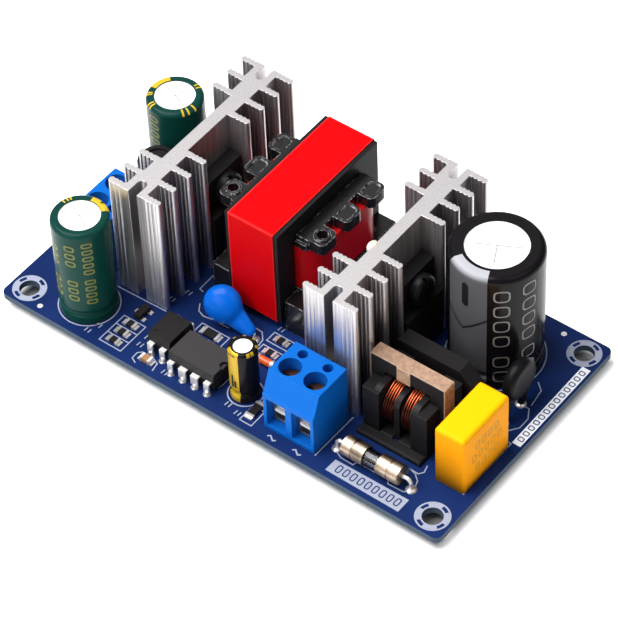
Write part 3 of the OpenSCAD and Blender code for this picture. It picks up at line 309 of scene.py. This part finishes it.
class Shape:
    """Collects faces for one piece."""

    mitre_limit = 0.4  # least cosine at a bend of a line, so that sharp corners stay short
    patch_step = 0.3   # height of a sleeve print's faces, mm

    def __init__(self):
        self.points = []
        self.faces = []

    def add(self, points, faces):
        k = len(self.points)
        self.points += points
        self.faces += [[i + k for i in face] for face in faces]

    def loft(self, rings):
        """Skin over rings of equally many points, with flat ends."""
        n = len(rings[0])
        last = (len(rings) - 1) * n
        faces = [[i + k, i + (k + 1) % n, i + n + (k + 1) % n, i + n + k]
                 for i in range(0, last, n) for k in range(n)]
        faces += [list(range(n))[::-1], [last + k for k in range(n)]]
        self.add([p for ring in rings for p in ring], faces)

    def grid(self, rows):
        """Open sheet over rows of equally many points."""
        n = len(rows[0])
        faces = [[i * n + k, i * n + k + 1, (i + 1) * n + k + 1, (i + 1) * n + k]
                 for i in range(len(rows) - 1) for k in range(n - 1)]
        self.add([p for row in rows for p in row], faces)

    def fill(self, corners):
        """Flat face on the board."""
        self.add([at(x, y, LIFT) for x, y in corners], [list(range(len(corners)))])

    def line(self, path, w=LINE_W, closed=False, z=LIFT):
        """Flat stripe along a path over the board."""
        p = [Vector(q) for q in path]
        n = len(p)
        left, right = [], []
        for i in range(n):
            before = p[i - 1] if closed or i else p[i] * 2 - p[i + 1]
            after = p[(i + 1) % n] if closed or i < n - 1 else p[i] * 2 - p[i - 1]
            d1, d2 = (p[i] - before).normalized(), (after - p[i]).normalized()
            side = Vector((-d1.y, d1.x))
            mitre = Vector((-d1.y - d2.y, d1.x + d2.x)).normalized()
            reach = w / 2 / max(self.mitre_limit, mitre.dot(side))
            left.append(at(*(p[i] + mitre * reach), z))
            right.append(at(*(p[i] - mitre * reach), z))
        if closed:
            left.append(left[0])
            right.append(right[0])
        self.grid([left, right])

    def arc(self, x, y, r, start=0.0, end=360.0, w=LINE_W):
        """Flat stripe on the board along an arc between two angles in degrees."""
        full = abs(end - start) >= 360
        n = int(abs(end - start) / ARC_STEP)
        angles = [math.radians(start + (end - start) * i / n) for i in range(n if full else n + 1)]
        self.line([(x + r * math.cos(a), y + r * math.sin(a)) for a in angles], w, full)

    def outline(self, x, y, l, w):
        """Oblong of lines about a point on the board."""
        self.line([(x + sx * l / 2, y + sy * w / 2) for sx, sy in CORNERS], closed=True)

    def revolve(self, x, y, profile, n=20):
        """Turned form over (radius, height) points."""
        self.loft([[at(x + r * math.cos(t), y + r * math.sin(t), z) for t in round_turn(n)]
                   for r, z in profile])

    def block(self, lo, hi, steps):
        """Upright block whose outline is drawn in at each (inset, height) step."""
        self.loft([[at(lo[0] + e, lo[1] + e, z), at(hi[0] - e, lo[1] + e, z),
                    at(hi[0] - e, hi[1] - e, z), at(lo[0] + e, hi[1] - e, z)] for e, z in steps])

    def box(self, lo, hi):
        """Plain block."""
        self.block(lo, hi, ((0, lo[2]), (0, hi[2])))

    def slab(self, lo, hi, edge):
        """Block with its upper edges cut back."""
        self.block(lo, hi, ((0, lo[2]), (0, hi[2] - edge), (edge, hi[2])))

    def rounded(self, lo, hi, side_r, top_r, n=8):
        """Block with rounded upright edges and a rounded top."""
        least_r = 0.05        # radius left on the upright edges where they meet the top
        guard = 1.5 * top_r   # rings this far from the rim keep the flat faces flat in the shading
        mid_x, mid_y, _ = ((a + b) / 2 for a, b in zip(lo, hi))
        half_x, half_y, _ = ((b - a) / 2 for a, b in zip(lo, hi))
        turns = [math.pi / 2 * k / n for k in range(n + 1)]
        steps = [(0, lo[2]), (0, hi[2] - guard)]
        steps += [(top_r * (1 - math.cos(t)), hi[2] - top_r * (1 - math.sin(t))) for t in turns]
        steps += [(guard, hi[2])]
        rings = []
        for inset, z in steps:
            r = max(least_r, side_r - inset)
            reach_x, reach_y = half_x - inset - r, half_y - inset - r
            ring = []
            for quarter, (sx, sy) in enumerate(((1, 1), (-1, 1), (-1, -1), (1, -1))):
                for t in turns:
                    a = t + quarter * math.pi / 2
                    x = mid_x + sx * reach_x + r * math.cos(a)
                    y = mid_y + sy * reach_y + r * math.sin(a)
                    ring.append(at(x, y, z))
            rings.append(ring)
        self.loft(rings)

    def wire(self, path, r, n=10):
        """Round wire of radius r, in millimetres, through points of the part's frame."""
        up = Vector((0.3, 0.2, 0.93))  # a direction that no wire here starts along
        rings = []
        for i, p in enumerate(path):
            d = (path[min(i + 1, len(path) - 1)] - path[max(i - 1, 0)]).normalized()
            a = d.cross(up).normalized()
            b = d.cross(a)
            up = a.cross(d)
            rings.append([p + (a * math.cos(t) + b * math.sin(t)) * r * MM for t in round_turn(n)])
        self.loft(rings)

    def patch(self, sleeve, start, end, low, high, lift=LIFT):
        """Print on a sleeve between two angles and two heights, which may be functions of the angle."""
        low_at = low if callable(low) else lambda a: low
        high_at = high if callable(high) else lambda a: high
        across = max(2, math.ceil(abs(end - start) / ARC_STEP))
        along = math.ceil((high_at(start) - low_at(start)) / self.patch_step)
        rows = []
        for i in range(across + 1):
            a = start + (end - start) * i / across
            foot, rise = low_at(a), high_at(a) - low_at(a)
            rows.append([sleeve.point(a, foot + rise * k / along, lift) for k in range(along + 1)])
        self.grid(rows)

    def loop(self, place, u, v, half_u, half_v, line_u, line_v, n=24):
        """Rounded oblong outline about (u, v), with place giving the point for each (u, v)."""
        roundness = 0.6  # 1 gives an ellipse, and less is squarer
        rows = []
        for i in range(n + 1):
            t = 2 * math.pi * i / n
            x = math.copysign(abs(math.cos(t)) ** roundness, math.cos(t))
            y = math.copysign(abs(math.sin(t)) ** roundness, math.sin(t))
            rows.append([place(u + half_u * x, v + half_v * y),
                         place(u + (half_u - line_u) * x, v + (half_v - line_v) * y)])
        self.grid(rows)

    def made(self, name, material, slot=None, smooth=False):
        """Object of the collected faces, which rides on the board."""
        mesh = bpy.data.meshes.new(name)
        mesh.from_pydata([tuple(p) for p in self.points], [], self.faces)
        mesh.materials.append(material)
        if smooth:
            mesh.shade_smooth()
        o = placed(name, mesh)
        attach(o, "board")
        return o


class Sleeve:
    """Skin of a capacitor: an angle in degrees and a height followed over the rounded rim give a point."""

    skin = 0.2          # thickness of the sleeve
    rim_share = 0.12    # radius of the can's rounded rim, in radii of the sleeve
    bead_r = 1.0        # radius of the rolled bead's groove
    bead_out = 0.6      # how far outside the skin the groove is centred
    bead_foot = 1.6     # height of the groove, without the share of the radius that adds to it
    bead_share = 0.16   # that share of the sleeve's radius
    mark_step = 1.35    # step of a column of marks, in heights of one mark

    def __init__(self, node):
        self.x, self.y, _, size = middle(node)
        self.r = size.x / 2
        self.h = (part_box(node)[1].z - board_hi.z) / MM
        self.edge = self.rim_share * self.r + self.skin
        self.bead_z = self.bead_foot + self.bead_share * self.r
        self.wall = self.h - self.edge                   # height at which the rim begins
        self.rim = self.wall + self.edge * math.pi / 2   # followed height at which the flat lip begins

    def point(self, angle, t, lift=LIFT):
        """Point over the skin at an angle and a followed height."""
        if t <= self.wall:
            r, z = self.r, t
            inside = self.bead_r ** 2 - (t - self.bead_z) ** 2
            if inside > 0:
                r = min(r, self.r + self.bead_out - math.sqrt(inside))
            r += lift
        elif t <= self.rim:
            turn = (t - self.wall) / self.edge
            r = self.r - self.edge + (self.edge + lift) * math.cos(turn)
            z = self.wall + (self.edge + lift) * math.sin(turn)
        else:
            r, z = self.r - self.edge - (t - self.rim), self.h + lift
        a = math.radians(angle)
        return at(self.x + r * math.cos(a), self.y + r * math.sin(a), z)

    def marks(self, shape, angle, width, top, count, size, w):
        """Column of plain rounded outlines in place of lettering, read from the top down."""
        line_angle = math.degrees(w / self.r)
        for i in range(count):
            mark_z = top - size / 2 - i * size * self.mark_step
            shape.loop(self.point, angle, mark_z, width / 2, size / 2, line_angle, w)


# Print on the board

silk = Shape()

# Rings with teeth round the fixing holes
hole_inset = 3.5
ring_radii, ring_w = (2.82, 1.93), 0.3
teeth_r, teeth_w = 2.37, 0.58
tooth_start, tooth_end = -6, 52
for hx in (hole_inset, board_l - hole_inset):
    for hy in (hole_inset, board_w - hole_inset):
        for r in ring_radii:
            silk.arc(hx, hy, r, w=ring_w)
        for quarter in (0, 90, 180, 270):
            silk.arc(hx, hy, teeth_r, quarter + tooth_start, quarter + tooth_end, teeth_w)

# Two light plates
front_plate = ((68.0, 1.15), (82.6, 1.0), (82.6, 3.95), (68.1, 3.8))
right_plate = ((88.95, 23.3), (90.6, 23.3), (90.6, 43.4), (88.95, 43.4))
silk.fill(front_plate)
# The right plate is drawn in a brighter white than the front one, as painted light where it lies in shade.
side_plate = Shape()
side_plate.fill(right_plate)
side_plate.made("side_plate", lit_plate_white)

# Circles round the capacitors
circle_w = 0.22
circle_gaps = {"front_sleeve": 0.28, "rear_sleeve": 0.28, "bulk_sleeve": 0.4, "supply_sleeve": 0.5}
for sleeve_node, circle_gap in circle_gaps.items():
    x, y, _, size = middle(sleeve_node)
    silk.arc(x, y, size.x / 2 + circle_gap, w=circle_w)

# Oblongs round the chips
chip_x, chip_y, _, chip_size = middle("chip_capacitor")
chips = {  # x, y, length, width, height, turned
    "row_1": (22.775, 2.6, 2.0, 1.25, 0.55, False),
    "row_2": (22.775, 4.8, 2.0, 1.25, 0.55, False),
    "row_3": (22.775, 7.0, 2.0, 1.25, 0.55, False),
    "capacitor": (chip_x, chip_y, *chip_size, False),
    "long": (35.08, 13.1, 3.2, 1.6, 0.55, False),
    "rear": (45.58, 18.7, 2.0, 1.25, 0.55, False),
    "front": (45.68, 15.5, 2.0, 1.25, 0.55, False),
    "turned": (51.275, 4.3, 3.2, 1.6, 0.55, True),
}
room_l, room_w = 2.6, 0.95                  # what an oblong adds to the length and width of its chip
turned_oblong = (51.5, 3.2, 2.4, 3.6)       # x, y, length and width
rail_inset = 0.1                            # how far the lines between the row's chips stop short
for key in ("long", "rear", "front"):
    x, y, l, w, _, _ = chips[key]
    silk.outline(x, y, l + room_l, w + room_w)
silk.outline(*turned_oblong)
row_x, row_y, row_l, row_w, _, _ = chips["row_2"]
row_half, row_step = row_l / 2 + room_l / 2, row_w + room_w
silk.outline(row_x, row_y, 2 * row_half, 3 * row_step)
for side in (-1, 1):
    y = row_y + side * row_step / 2
    silk.line([(row_x - row_half + rail_inset, y), (row_x + row_half - rail_inset, y)])

# Loose outlines, which the parts on the board cover in places
loose_outlines = {
    "chip_capacitor_left": ((28.7, 0.95), (27.6, 1.5), (27.55, 2.9), (28.3, 3.6)),
    "chip_capacitor_right": ((30.3, 3.6), (31.8, 2.9), (32.1, 1.2)),
    "transformer_corner": ((26.9, 23.9), (27.0, 20.2), (27.9, 20.0)),
    "disc_left": ((29.1, 17.6), (30.0, 16.2), (31.3, 15.7), (33.2, 16.0), (36.5, 16.1)),
    "disc_right": ((40.0, 18.7), (41.5, 18.65), (42.7, 17.3), (42.9, 16.0), (42.0, 14.9)),
    "fuse": ((66.4, 6.6), (67.4, 5.1), (68.6, 4.6), (71.0, 4.55), (71.3, 5.4), (77.5, 5.3), (77.9, 4.65),
             (80.9, 4.8), (82.0, 6.1), (81.4, 7.9), (80.2, 8.9), (78.7, 9.3)),
    "fuse_rear": ((78.7, 9.3), (80.6, 9.15), (81.2, 10.0), (80.8, 11.4)),
    "input_terminal": ((64.9, 2.5), (65.05, 12.6)),
    "box_capacitor": ((88.35, 23.05), (89.0, 23.0), (88.9, 9.9)),
    "thermistor_front": ((86.0, 30.8), (87.1, 30.8), (88.2, 28.9), (88.2, 26.6), (87.0, 24.95)),
    "thermistor_rear": ((85.0, 36.4), (86.5, 35.1), (87.0, 31.5)),
    "heatsink": ((15.2, 12.55), (25.6, 12.9)),
    "controller": ((43.25, 4.65), (43.5, 5.7), (43.5, 7.1), (43.25, 8.1)),
}
for path in loose_outlines.values():
    silk.line(path)

# Short strokes where the board numbers its parts
stroke_places = ((17.2, 1.5), (18.0, 3.4), (26.4, 4.1), (26.5, 6.0), (27.2, 8.2), (24.2, 15.2), (33.6, 1.7),
                 (39.6, 14.4), (43.4, 20.5), (49.3, 16.6), (46.4, 2.4), (48.8, 1.8), (80.9, 13.4),
                 (25.6, 18.0))
stroke_step, stroke_lean, stroke_h = 0.75, 0.1, 0.95
for x, y in stroke_places:
    for left in (x, x + stroke_step):
        silk.line([(left, y), (left + stroke_lean, y + stroke_h)])

# Mains signs at the input, minus and plus at the output
sign_w = 0.26
mains_x = (57.0, 62.1)
mains_wave = ((-0.9, 1.3), (-0.45, 1.65), (0, 1.3), (0.45, 0.95), (0.9, 1.3))
sign_left, sign_right = 1.5, 2.9
minus_y, plus_y = 17.5, 22.6
plus_upright = ((2.2, 21.9), (2.2, 23.3))
crossing = 0.01   # how far the upright stroke lies over the level one
for x in mains_x:
    silk.line([(x + dx, y) for dx, y in mains_wave], sign_w)
for y in (minus_y, plus_y):
    silk.line([(sign_left, y), (sign_right, y)], sign_w)
silk.line(plus_upright, sign_w, z=LIFT + crossing)
silk.made("silk_print", silk_white)

# Plain marks on the plates
plate_step = 1.45
front_x0, front_y0, front_count = 69.8, 2.5, 9
right_x0, right_y0, right_count = 89.78, 24.7, 13
front_mark = {"half_u": 0.5, "half_v": 0.86, "line_u": 0.22, "line_v": 0.22}
right_mark = {"half_u": 0.56, "half_v": 0.48, "line_u": 0.18, "line_v": 0.18}
plate_marks = Shape()


def on_plate(x, y):
    return at(x, y, OVER)


for i in range(front_count):
    plate_marks.loop(on_plate, front_x0 + plate_step * i, front_y0, **front_mark)
for i in range(right_count):
    plate_marks.loop(on_plate, right_x0, right_y0 + plate_step * i, **right_mark)
plate_marks.made("plate_marks", print_blue)

# Solder on the upper face

pads = Shape()

# Two bare dots
dot_r = 0.5
for x, y in ((7.58, 1.43), (82.41, 47.61)):
    pads.arc(x, y, dot_r / 2, w=dot_r)

# Cones round the leads of the fuse, the disc capacitor, the thermistor and the packages
lead_cone = ((1.0, 0.01), (0.85, 0.2), (0.5, 0.42), (0.4, 0.6))
pin_cone = ((0.7, 0.01), (0.5, 0.25), (0.3, 0.7))
pin_pitch, pin_reach = 2.54, 3.83
fuse_x, fuse_y, _, fuse_size = middle("fuse_wire")
fuse_inset = 0.35   # from the end of the fuse wire to the middle of its lead
fuse_reach = fuse_size.x / 2 - fuse_inset
disc_foot = (41.48, 16.6)
thermistor_x, _, _, _ = middle("thermistor")
thermistor_feet = ((thermistor_x, 25.9), (thermistor_x, 30.9))
for x, y in ((fuse_x - fuse_reach, fuse_y), (fuse_x + fuse_reach, fuse_y), disc_foot, *thermistor_feet):
    pads.revolve(x, y, lead_cone)
for package, ways in (("controller", 4), ("optocoupler", 2)):
    x, y, _, _ = middle(package)
    for i in range(ways):
        for side in (-1, 1):
            pads.revolve(x + (i - (ways - 1) / 2) * pin_pitch, y + side * pin_reach, pin_cone)

# End caps of the chips, each with its pad
cap_l = 0.42
pad_l, pad_inset, pad_h = 0.5, 0.05, 0.22
for x, y, l, w, h, turned in chips.values():
    cap = (l / 2 - cap_l, l / 2 + PLATING, w / 2 + PLATING, h + PLATING)
    pad = (l / 2, l / 2 + pad_l, w / 2 - pad_inset, pad_h)
    for side in (-1, 1):
        for near, far, half, top in (cap, pad):
            a, b = sorted((side * near, side * far))
            if turned:
                pads.box((x - half, y + a, GAP), (x + half, y + b, top))
            else:
                pads.box((x + a, y - half, GAP), (x + b, y + half, top))

# Pads of the voltage reference and end caps of the glass diode
reference_x, reference_y, _, _ = middle("voltage_reference")
foot_x, foot_y = 0.925, 0.95   # places of the feet from the middle
foot_half_l, foot_half_w = 0.5, 0.4
for dx, dy in ((foot_x, -foot_y), (foot_x, foot_y), (-foot_x, 0)):
    x, y = reference_x + dx, reference_y + dy
    pads.box((x - foot_half_l, y - foot_half_w, GAP), (x + foot_half_l, y + foot_half_w, pad_h))
diode_x, diode_y, diode_z, diode_size = middle("glass_diode")
diode_cap_l, diode_cap_r = 0.5, 0.83
for side in (-1, 1):
    tip = diode_x + side * diode_size.x / 2
    ends = [at(x, diode_y, diode_z) for x in (tip - side * diode_cap_l, tip + side * PLATING)]
    pads.wire(ends, diode_cap_r, n=16)
pads.made("solder_pads", SLOTS["solder"], slot="solder")

# Print on the capacitor sleeves, with angles in degrees and heights in millimetres

bulk, front, rear, supply = (Sleeve(k + "_sleeve") for k in ("bulk", "front", "rear", "supply"))
print_foot = 0.3   # height at which the stripes begin

# Grey stripe of the bulk capacitor
stripe_left, stripe_right = -124, -66
stripe_lip = 0.9   # how far the stripe runs onto the flat lip
stripe = Shape()
stripe.patch(bulk, stripe_left, stripe_right, print_foot, bulk.rim + stripe_lip)
stripe.made("bulk_stripe", print_grey, smooth=True)

# Arrow line and rounded bar on that stripe, and dark marks on the supply and front capacitors
arrow_angle, arrow_z, arrow_half = -97, 12.7, 0.22
rise_left, rise_right = 2.6, 3.6   # what the arrow line climbs on its way to the stripe's edges
bar_angle, bar_half = -94, 4.5
bar_low, bar_high, bar_round = 18.6, 23.1, 0.5
supply_half, supply_low = 5, 3.6   # half width and foot of the supply capacitor's marks
band_left, band_right = -118, -84
band_under, band_over = 0.1, 0.15  # reach of the supply capacitor's band from the foot of its rim
tick_left, tick_right = 72, 78
tick_foot, tick_inset = 0.25, 0.1  # gaps of the front capacitor's mark from the rim's foot and the lip


def arrow_line(angle):
    """Height of the arrow line across the bulk capacitor's stripe."""
    if angle < arrow_angle:
        return arrow_z + rise_left * (arrow_angle - angle) / (arrow_angle - stripe_left)
    return arrow_z + rise_right * (angle - arrow_angle) / (stripe_right - arrow_angle)


def bar_end(angle):
    """How far the bar's rounded end reaches out at an angle."""
    return bar_round * math.cos(math.radians((angle - bar_angle) * (90 / bar_half)))


dark = Shape()
dark.patch(bulk, bar_angle - bar_half, bar_angle + bar_half, lambda a: bar_low - bar_end(a),
           lambda a: bar_high + bar_end(a), OVER)
for start, end in ((stripe_left, arrow_angle), (arrow_angle, stripe_right)):
    dark.patch(bulk, start, end, lambda a: arrow_line(a) - arrow_half,
               lambda a: arrow_line(a) + arrow_half, OVER)
for angle, top in ((-101, 6.4), (-88, 5.2)):
    dark.patch(supply, angle - supply_half, angle + supply_half, supply_low, top, OVER)
dark.patch(supply, band_left, band_right, supply.wall - band_under, supply.wall + band_over, OVER)
dark.patch(front, tick_left, tick_right, front.wall + tick_foot, front.rim - tick_inset, OVER)
dark.made("sleeve_dark_marks", print_black, smooth=True)

# Columns of pale marks on the bulk capacitor
bulk_mark_width, bulk_mark_h, bulk_mark_line = 20, 2.6, 0.28
pale = Shape()
for angle, top, count in ((-49, 23.3, 4), (-49, 7.8, 2), (-14, 23.6, 4), (-14, 8.6, 2)):
    bulk.marks(pale, angle, bulk_mark_width, top, count, bulk_mark_h, bulk_mark_line)
pale.made("bulk_marks", print_pale, smooth=True)

# Columns of gold marks on the output capacitors
gold_columns = (  # sleeve, angle, width, top, count, height and line
    (front, -74, 22, 18.6, 3, 1.3, 0.3),
    (front, -74, 22, 10.4, 3, 1.3, 0.3),
    (front, -39, 22, 19.4, 5, 1.15, 0.3),
    (front, -39, 22, 10.8, 4, 1.15, 0.3),
    (front, -112, 22, 17.4, 3, 1.2, 0.36),
    (front, -112, 22, 10.0, 3, 1.2, 0.36),
    (rear, -100, 26, 19.6, 4, 1.3, 0.36),
    (rear, 40, 22, 18.6, 5, 1.2, 0.3),
)
gold = Shape()
for sleeve, *column in gold_columns:
    sleeve.marks(gold, *column)
gold.made("output_marks", print_gold, smooth=True)

# Yellow blocks and strokes over the rims of the output capacitors
block_under, block_lip = 0.2, 0.6            # how far a block reaches under the rim and onto the lip
rim_half, rim_over, rim_lip = 2, 0.2, 0.4    # half width of a stroke, where it begins, its reach on the lip
yellow = Shape()
for sleeve, start, end in ((front, 48, 100), (rear, 140, 190)):
    yellow.patch(sleeve, start, end, sleeve.wall - block_under, sleeve.rim + block_lip)
for sleeve, angles in ((front, (150, 158, 168)), (rear, (-152, -146, -118, -110, -34, -22, -6, 60, 70))):
    for angle in angles:
        low, high = sleeve.wall + rim_over, sleeve.rim + rim_lip
        yellow.patch(sleeve, angle - rim_half, angle + rim_half, low, high)
yellow.made("rim_marks", print_yellow, smooth=True)

# Brass stripe and rim strokes of the supply capacitor
brass_left, brass_right = -136, -72
brass_half, brass_under = 7, 0.05   # half width of a stroke, and how far it stops under the lip
brass = Shape()
brass.patch(supply, brass_left, brass_right, print_foot, supply.rim)
for angle in (-30, -12, 30, 75, 120, 165):
    brass.patch(supply, angle - brass_half, angle + brass_half, supply.wall, supply.rim - brass_under)
brass.made("supply_stripe", print_brass, smooth=True)

# Vents scored as a plain T on the can tops
score_w, score_share = 0.13, 0.55   # width of a line, and its length in radii of the sleeve
can_drop = 0.2                      # how far a can's top lies under the sleeve's lip
score = Shape()
for sleeve, turn in ((front, 61), (rear, 70), (bulk, 298)):
    reach = sleeve.r * score_share
    for arm in (-90, 0, 90):
        a = math.radians(turn + arm)
        tip = (sleeve.x + reach * math.cos(a), sleeve.y + reach * math.sin(a))
        score.line([(sleeve.x, sleeve.y), tip], score_w, z=sleeve.h - can_drop + LIFT)
score.made("vent_scores", score_grey)

# Blue disc capacitor as one dipped drop

drop_r, drop_half = 3.3, 1.9                 # radius and half thickness of the disc
root_r, tip_r, tail_half = 2.7, 1.0, 0.9     # half widths and half thickness of the tail over the lead
drop_middle, drop_foot = at(35.05, 16.6, 4.65), at(41.5, 16.6, 0.95)
drop_face = Vector((-0.23, -0.67, 0.71))     # where the flat of the disc looks
belly = 0.7                                  # under 1, the disc keeps its thickness further out
join = 4                                     # power that joins disc and tail, and a higher one is sharper
drop_steps, drop_sides = 48, 28
run = (drop_foot - drop_middle).normalized()
across = drop_face.cross(run).normalized()
thick = run.cross(across)
length = (drop_foot - drop_middle).length / MM
drop_rings = []
for i in range(drop_steps + 1):
    s = -drop_r + (length + drop_r) * (1 - math.cos(math.pi * i / drop_steps)) / 2
    disc = math.sqrt(max(0, 1 - (s / drop_r) ** 2))
    grown = min(1, (s + drop_r) / (2 * drop_r))
    closing = math.sqrt(1 - max(0, (s - length + tip_r) / tip_r) ** 2)
    tail = root_r + (tip_r - root_r) * s / length
    wide = closing * ((drop_r * disc) ** join + (grown * tail) ** join) ** (1 / join)
    deep = closing * ((drop_half * disc ** belly) ** join + (grown * tail_half) ** join) ** (1 / join)
    a, b = across * max(SPECK, wide), thick * max(SPECK, deep)
    drop_rings.append([drop_middle + run * s * MM + (a * math.cos(t) + b * math.sin(t)) * MM
                       for t in round_turn(drop_sides)])
drop = Shape()
drop.loft(drop_rings)
disc_drop = drop.made("disc_drop", SLOTS["disc_blue"], slot="disc_blue", smooth=True)
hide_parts("disc_capacitor")

# Copper coils of the mains choke

coils, coil_core = Shape(), Shape()
coil_x, coil_y, coil_z, coil_size = middle("choke_windings")
wire_r, turns, coil_gap = 0.19, 5, 0.55   # coil_gap lies between the choke's middle and each coil
turn_steps, core_sides = 36, 40
sway, sway_rate = 0.03, 3.7               # unevenness along the coil, and waves of it in a turn
coil_r = coil_size.z / 2 - wire_r
core_r = coil_r - wire_r
for side in (-1, 1):
    near, far = coil_x + side * (coil_gap + wire_r), coil_x + side * (coil_size.x / 2 - wire_r)
    coil_core.loft([[at(x, coil_y + core_r * math.cos(t), coil_z + core_r * math.sin(t))
                     for t in round_turn(core_sides)] for x in (near - side * wire_r, far + side * wire_r)])
    path = []
    for i in range(turns * turn_steps + 1):
        t = 2 * math.pi * i / turn_steps - math.pi / 2
        x = near + (far - near) * i / (turns * turn_steps) + sway * math.sin(sway_rate * t)
        path.append(at(x, coil_y + coil_r * math.cos(t), coil_z + coil_r * math.sin(t)))
    coils.wire(path, wire_r)
choke_coils = coils.made("choke_coils", SLOTS["copper_wire"], slot="copper_wire", smooth=True)
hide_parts("choke_windings")
# The dark cores show between the turns as painted shade.
coil_core.made("choke_coil_cores", shaded_copper)

# Foot of the choke's bobbin: a strip before the posts and a floor under each coil

foot = Shape()
strip_w, strip_h, strip_edge = 2.0, 0.9, 0.25
base_h, base_edge = 0.7, 0.15
posts_x, posts_y, _, posts = middle("choke_bobbin")
front_y = posts_y - posts.y / 2
strip_lo = (posts_x - posts.x / 2, front_y - strip_w, GAP)
strip_hi = (posts_x + posts.x / 2, front_y - GAP, strip_h)
foot.slab(strip_lo, strip_hi, strip_edge)
for side in (-1, 1):
    a, b = sorted((coil_x + side * coil_gap, coil_x + side * coil_size.x / 2))
    foot.slab((a, front_y, GAP), (b, front_y + posts.y, base_h), base_edge)
foot.made("choke_foot", dull_black, slot="bobbin_black")

# Yellow box capacitor with rounded edges, and generic marks on its right side

box = Shape()
box_x, box_y, box_z, box_size = middle("box_capacitor")
box_half = box_size / 2
box_side_r, box_top_r = 0.6, 0.8
box_lo = (box_x - box_half.x, box_y - box_half.y, box_z - box_half.z)
box_hi = (box_x + box_half.x, box_y + box_half.y, box_z + box_half.z)
box.rounded(box_lo, box_hi, box_side_r, box_top_r)
yellow_box = box.made("yellow_box", SLOTS["box_yellow"], slot="box_yellow", smooth=True)
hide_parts("box_capacitor")


def on_box(y, z):
    return at(box_x + box_half.x + LIFT, y, z)


box_step = 1.7
box_mark = {"half_u": 0.6, "half_v": 0.85, "line_u": 0.22, "line_v": 0.22}
box_marks = Shape()
for z, count in ((8.8, 4), (6.2, 5), (3.6, 4)):
    for i in range(count):
        box_marks.loop(on_box, box_y + (i - (count - 1) / 2) * box_step, z, **box_mark)
box_marks.made("box_marks", print_brown)

# Drop of glue on the upper edge of the primary heatsink's web

glue = Shape()
web_x, _, _, _ = middle("primary_heatsink")
glue_x, glue_y, glue_z = web_x - 1.45, 26.8, 24.4
glue_rx, glue_ry, glue_rz = 0.85, 1.2, 0.9
glue_steps, glue_sides = 12, 20
glue_rings = []
for i in range(glue_steps + 1):
    rise = math.pi * (i / glue_steps - 0.5)
    r = max(SPECK, math.cos(rise))
    z = glue_z + glue_rz * math.sin(rise)
    glue_rings.append([at(glue_x + glue_rx * r * math.cos(t), glue_y + glue_ry * r * math.sin(t), z)
                       for t in round_turn(glue_sides)])
glue.loft(glue_rings)
glue.made("glue_drop", glue_cream, smooth=True)

# Camera, at the place and with the axes that the photograph was solved for

cam = placed("camera", bpy.data.cameras.new("camera"))
cam.data.sensor_width = 36
cam.data.lens = 195.0
eye = at(284.79, -264.95, 413.18)
cam_right = Vector((0.793688, 0.607512, -0.031445))
cam_up = Vector((-0.431691, 0.598899, 0.674509))
cam_back = Vector((0.428605, -0.521775, 0.737597))
cam.matrix_world = Matrix((
    (cam_right.x, cam_up.x, cam_back.x, eye.x),
    (cam_right.y, cam_up.y, cam_back.y, eye.y),
    (cam_right.z, cam_up.z, cam_back.z, eye.z),
    (0, 0, 0, 1)))
bpy.context.scene.camera = cam

# Floor

floor_half = 3.0                         # metres
floor_z = cad_lo.z - GAP * MM
glow_span = (-1 * MM, 1.2 * MM)          # from inside the board's outline to outside it
glow_most = 0.6
ground_shade_span = (-1.9 * MM, -1.0 * MM)     # painted shade under the board, inside its outline
# darkness of the painted shade under the board, and the floor's own pale colour
ground_shade, ground_light = 0.25, 0.9


def light_floor(material):
    """Painted light as a glow outside the board's outline, which keeps shadows light there, and painted
    shade as a darker ground under the board.
    """
    tree = material.node_tree
    shading = tree.nodes["Principled BSDF"]
    where = tree.nodes.new("ShaderNodeTexCoord")
    fold = operate(tree, "VectorMath", "ABSOLUTE", where.outputs["Object"])
    outside = operate(tree, "VectorMath", "SUBTRACT", fold.outputs["Vector"])
    outside.inputs[1].default_value = (board_l / 2 * MM, board_w / 2 * MM, 0)
    axes = tree.nodes.new("ShaderNodeSeparateXYZ")
    tree.links.new(outside.outputs["Vector"], axes.inputs["Vector"])
    distance = operate(tree, "Math", "MAXIMUM", axes.outputs["X"], axes.outputs["Y"]).outputs["Value"]
    glow = ramp(tree, distance, glow_span, high=glow_most)
    shaded_ground = ramp(tree, distance, ground_shade_span, ground_shade, ground_light)
    tree.links.new(glow, shading.inputs["Emission Strength"])
    tree.links.new(shaded_ground, shading.inputs["Base Color"])


floor_mesh = bpy.data.meshes.new("floor")
floor_corners = [(sx * floor_half, sy * floor_half, floor_z) for sx, sy in CORNERS]
floor_mesh.from_pydata(floor_corners, [], [[0, 1, 2, 3]])
floor = placed("floor", floor_mesh)
floor_white = shader("floor_white", (0.9, 0.9, 0.9), 0.9, gloss=0.0, Emission_Color=(1, 1, 1, 1))
floor_mesh.materials.append(floor_white)
light_floor(floor_white)


# Light

def softbox(name, place, size, power, aim=(0, 0, 0.01)):
    """Square lamp aimed at the part, in metres and watts."""
    light = bpy.data.lights.new(name, "AREA")
    light.shape = "RECTANGLE"
    light.size = light.size_y = size
    light.energy = power
    o = placed(name, light)
    o.location = place
    o.rotation_euler = (Vector(aim) - Vector(place)).to_track_quat("-Z", "Y").to_euler()


softbox("key_light", (-0.2, -0.14, 0.56), 0.5, 6.2)
softbox("front_light", (-0.05, -0.55, 0.35), 0.4, 1.2)
softbox("back_light", (-0.28, 0.34, 0.46), 0.5, 0.5)
softbox("right_light", (0.32, 0.05, 0.5), 0.4, 0.5)
world = bpy.data.worlds.new("world")
bpy.context.scene.world = world
world.use_nodes = True
sky = world.node_tree.nodes["Background"]
sky.inputs["Color"].default_value = (1, 1, 1, 1)
sky.inputs["Strength"].default_value = 0.1
bpy.context.scene.view_settings.view_transform = "Standard"
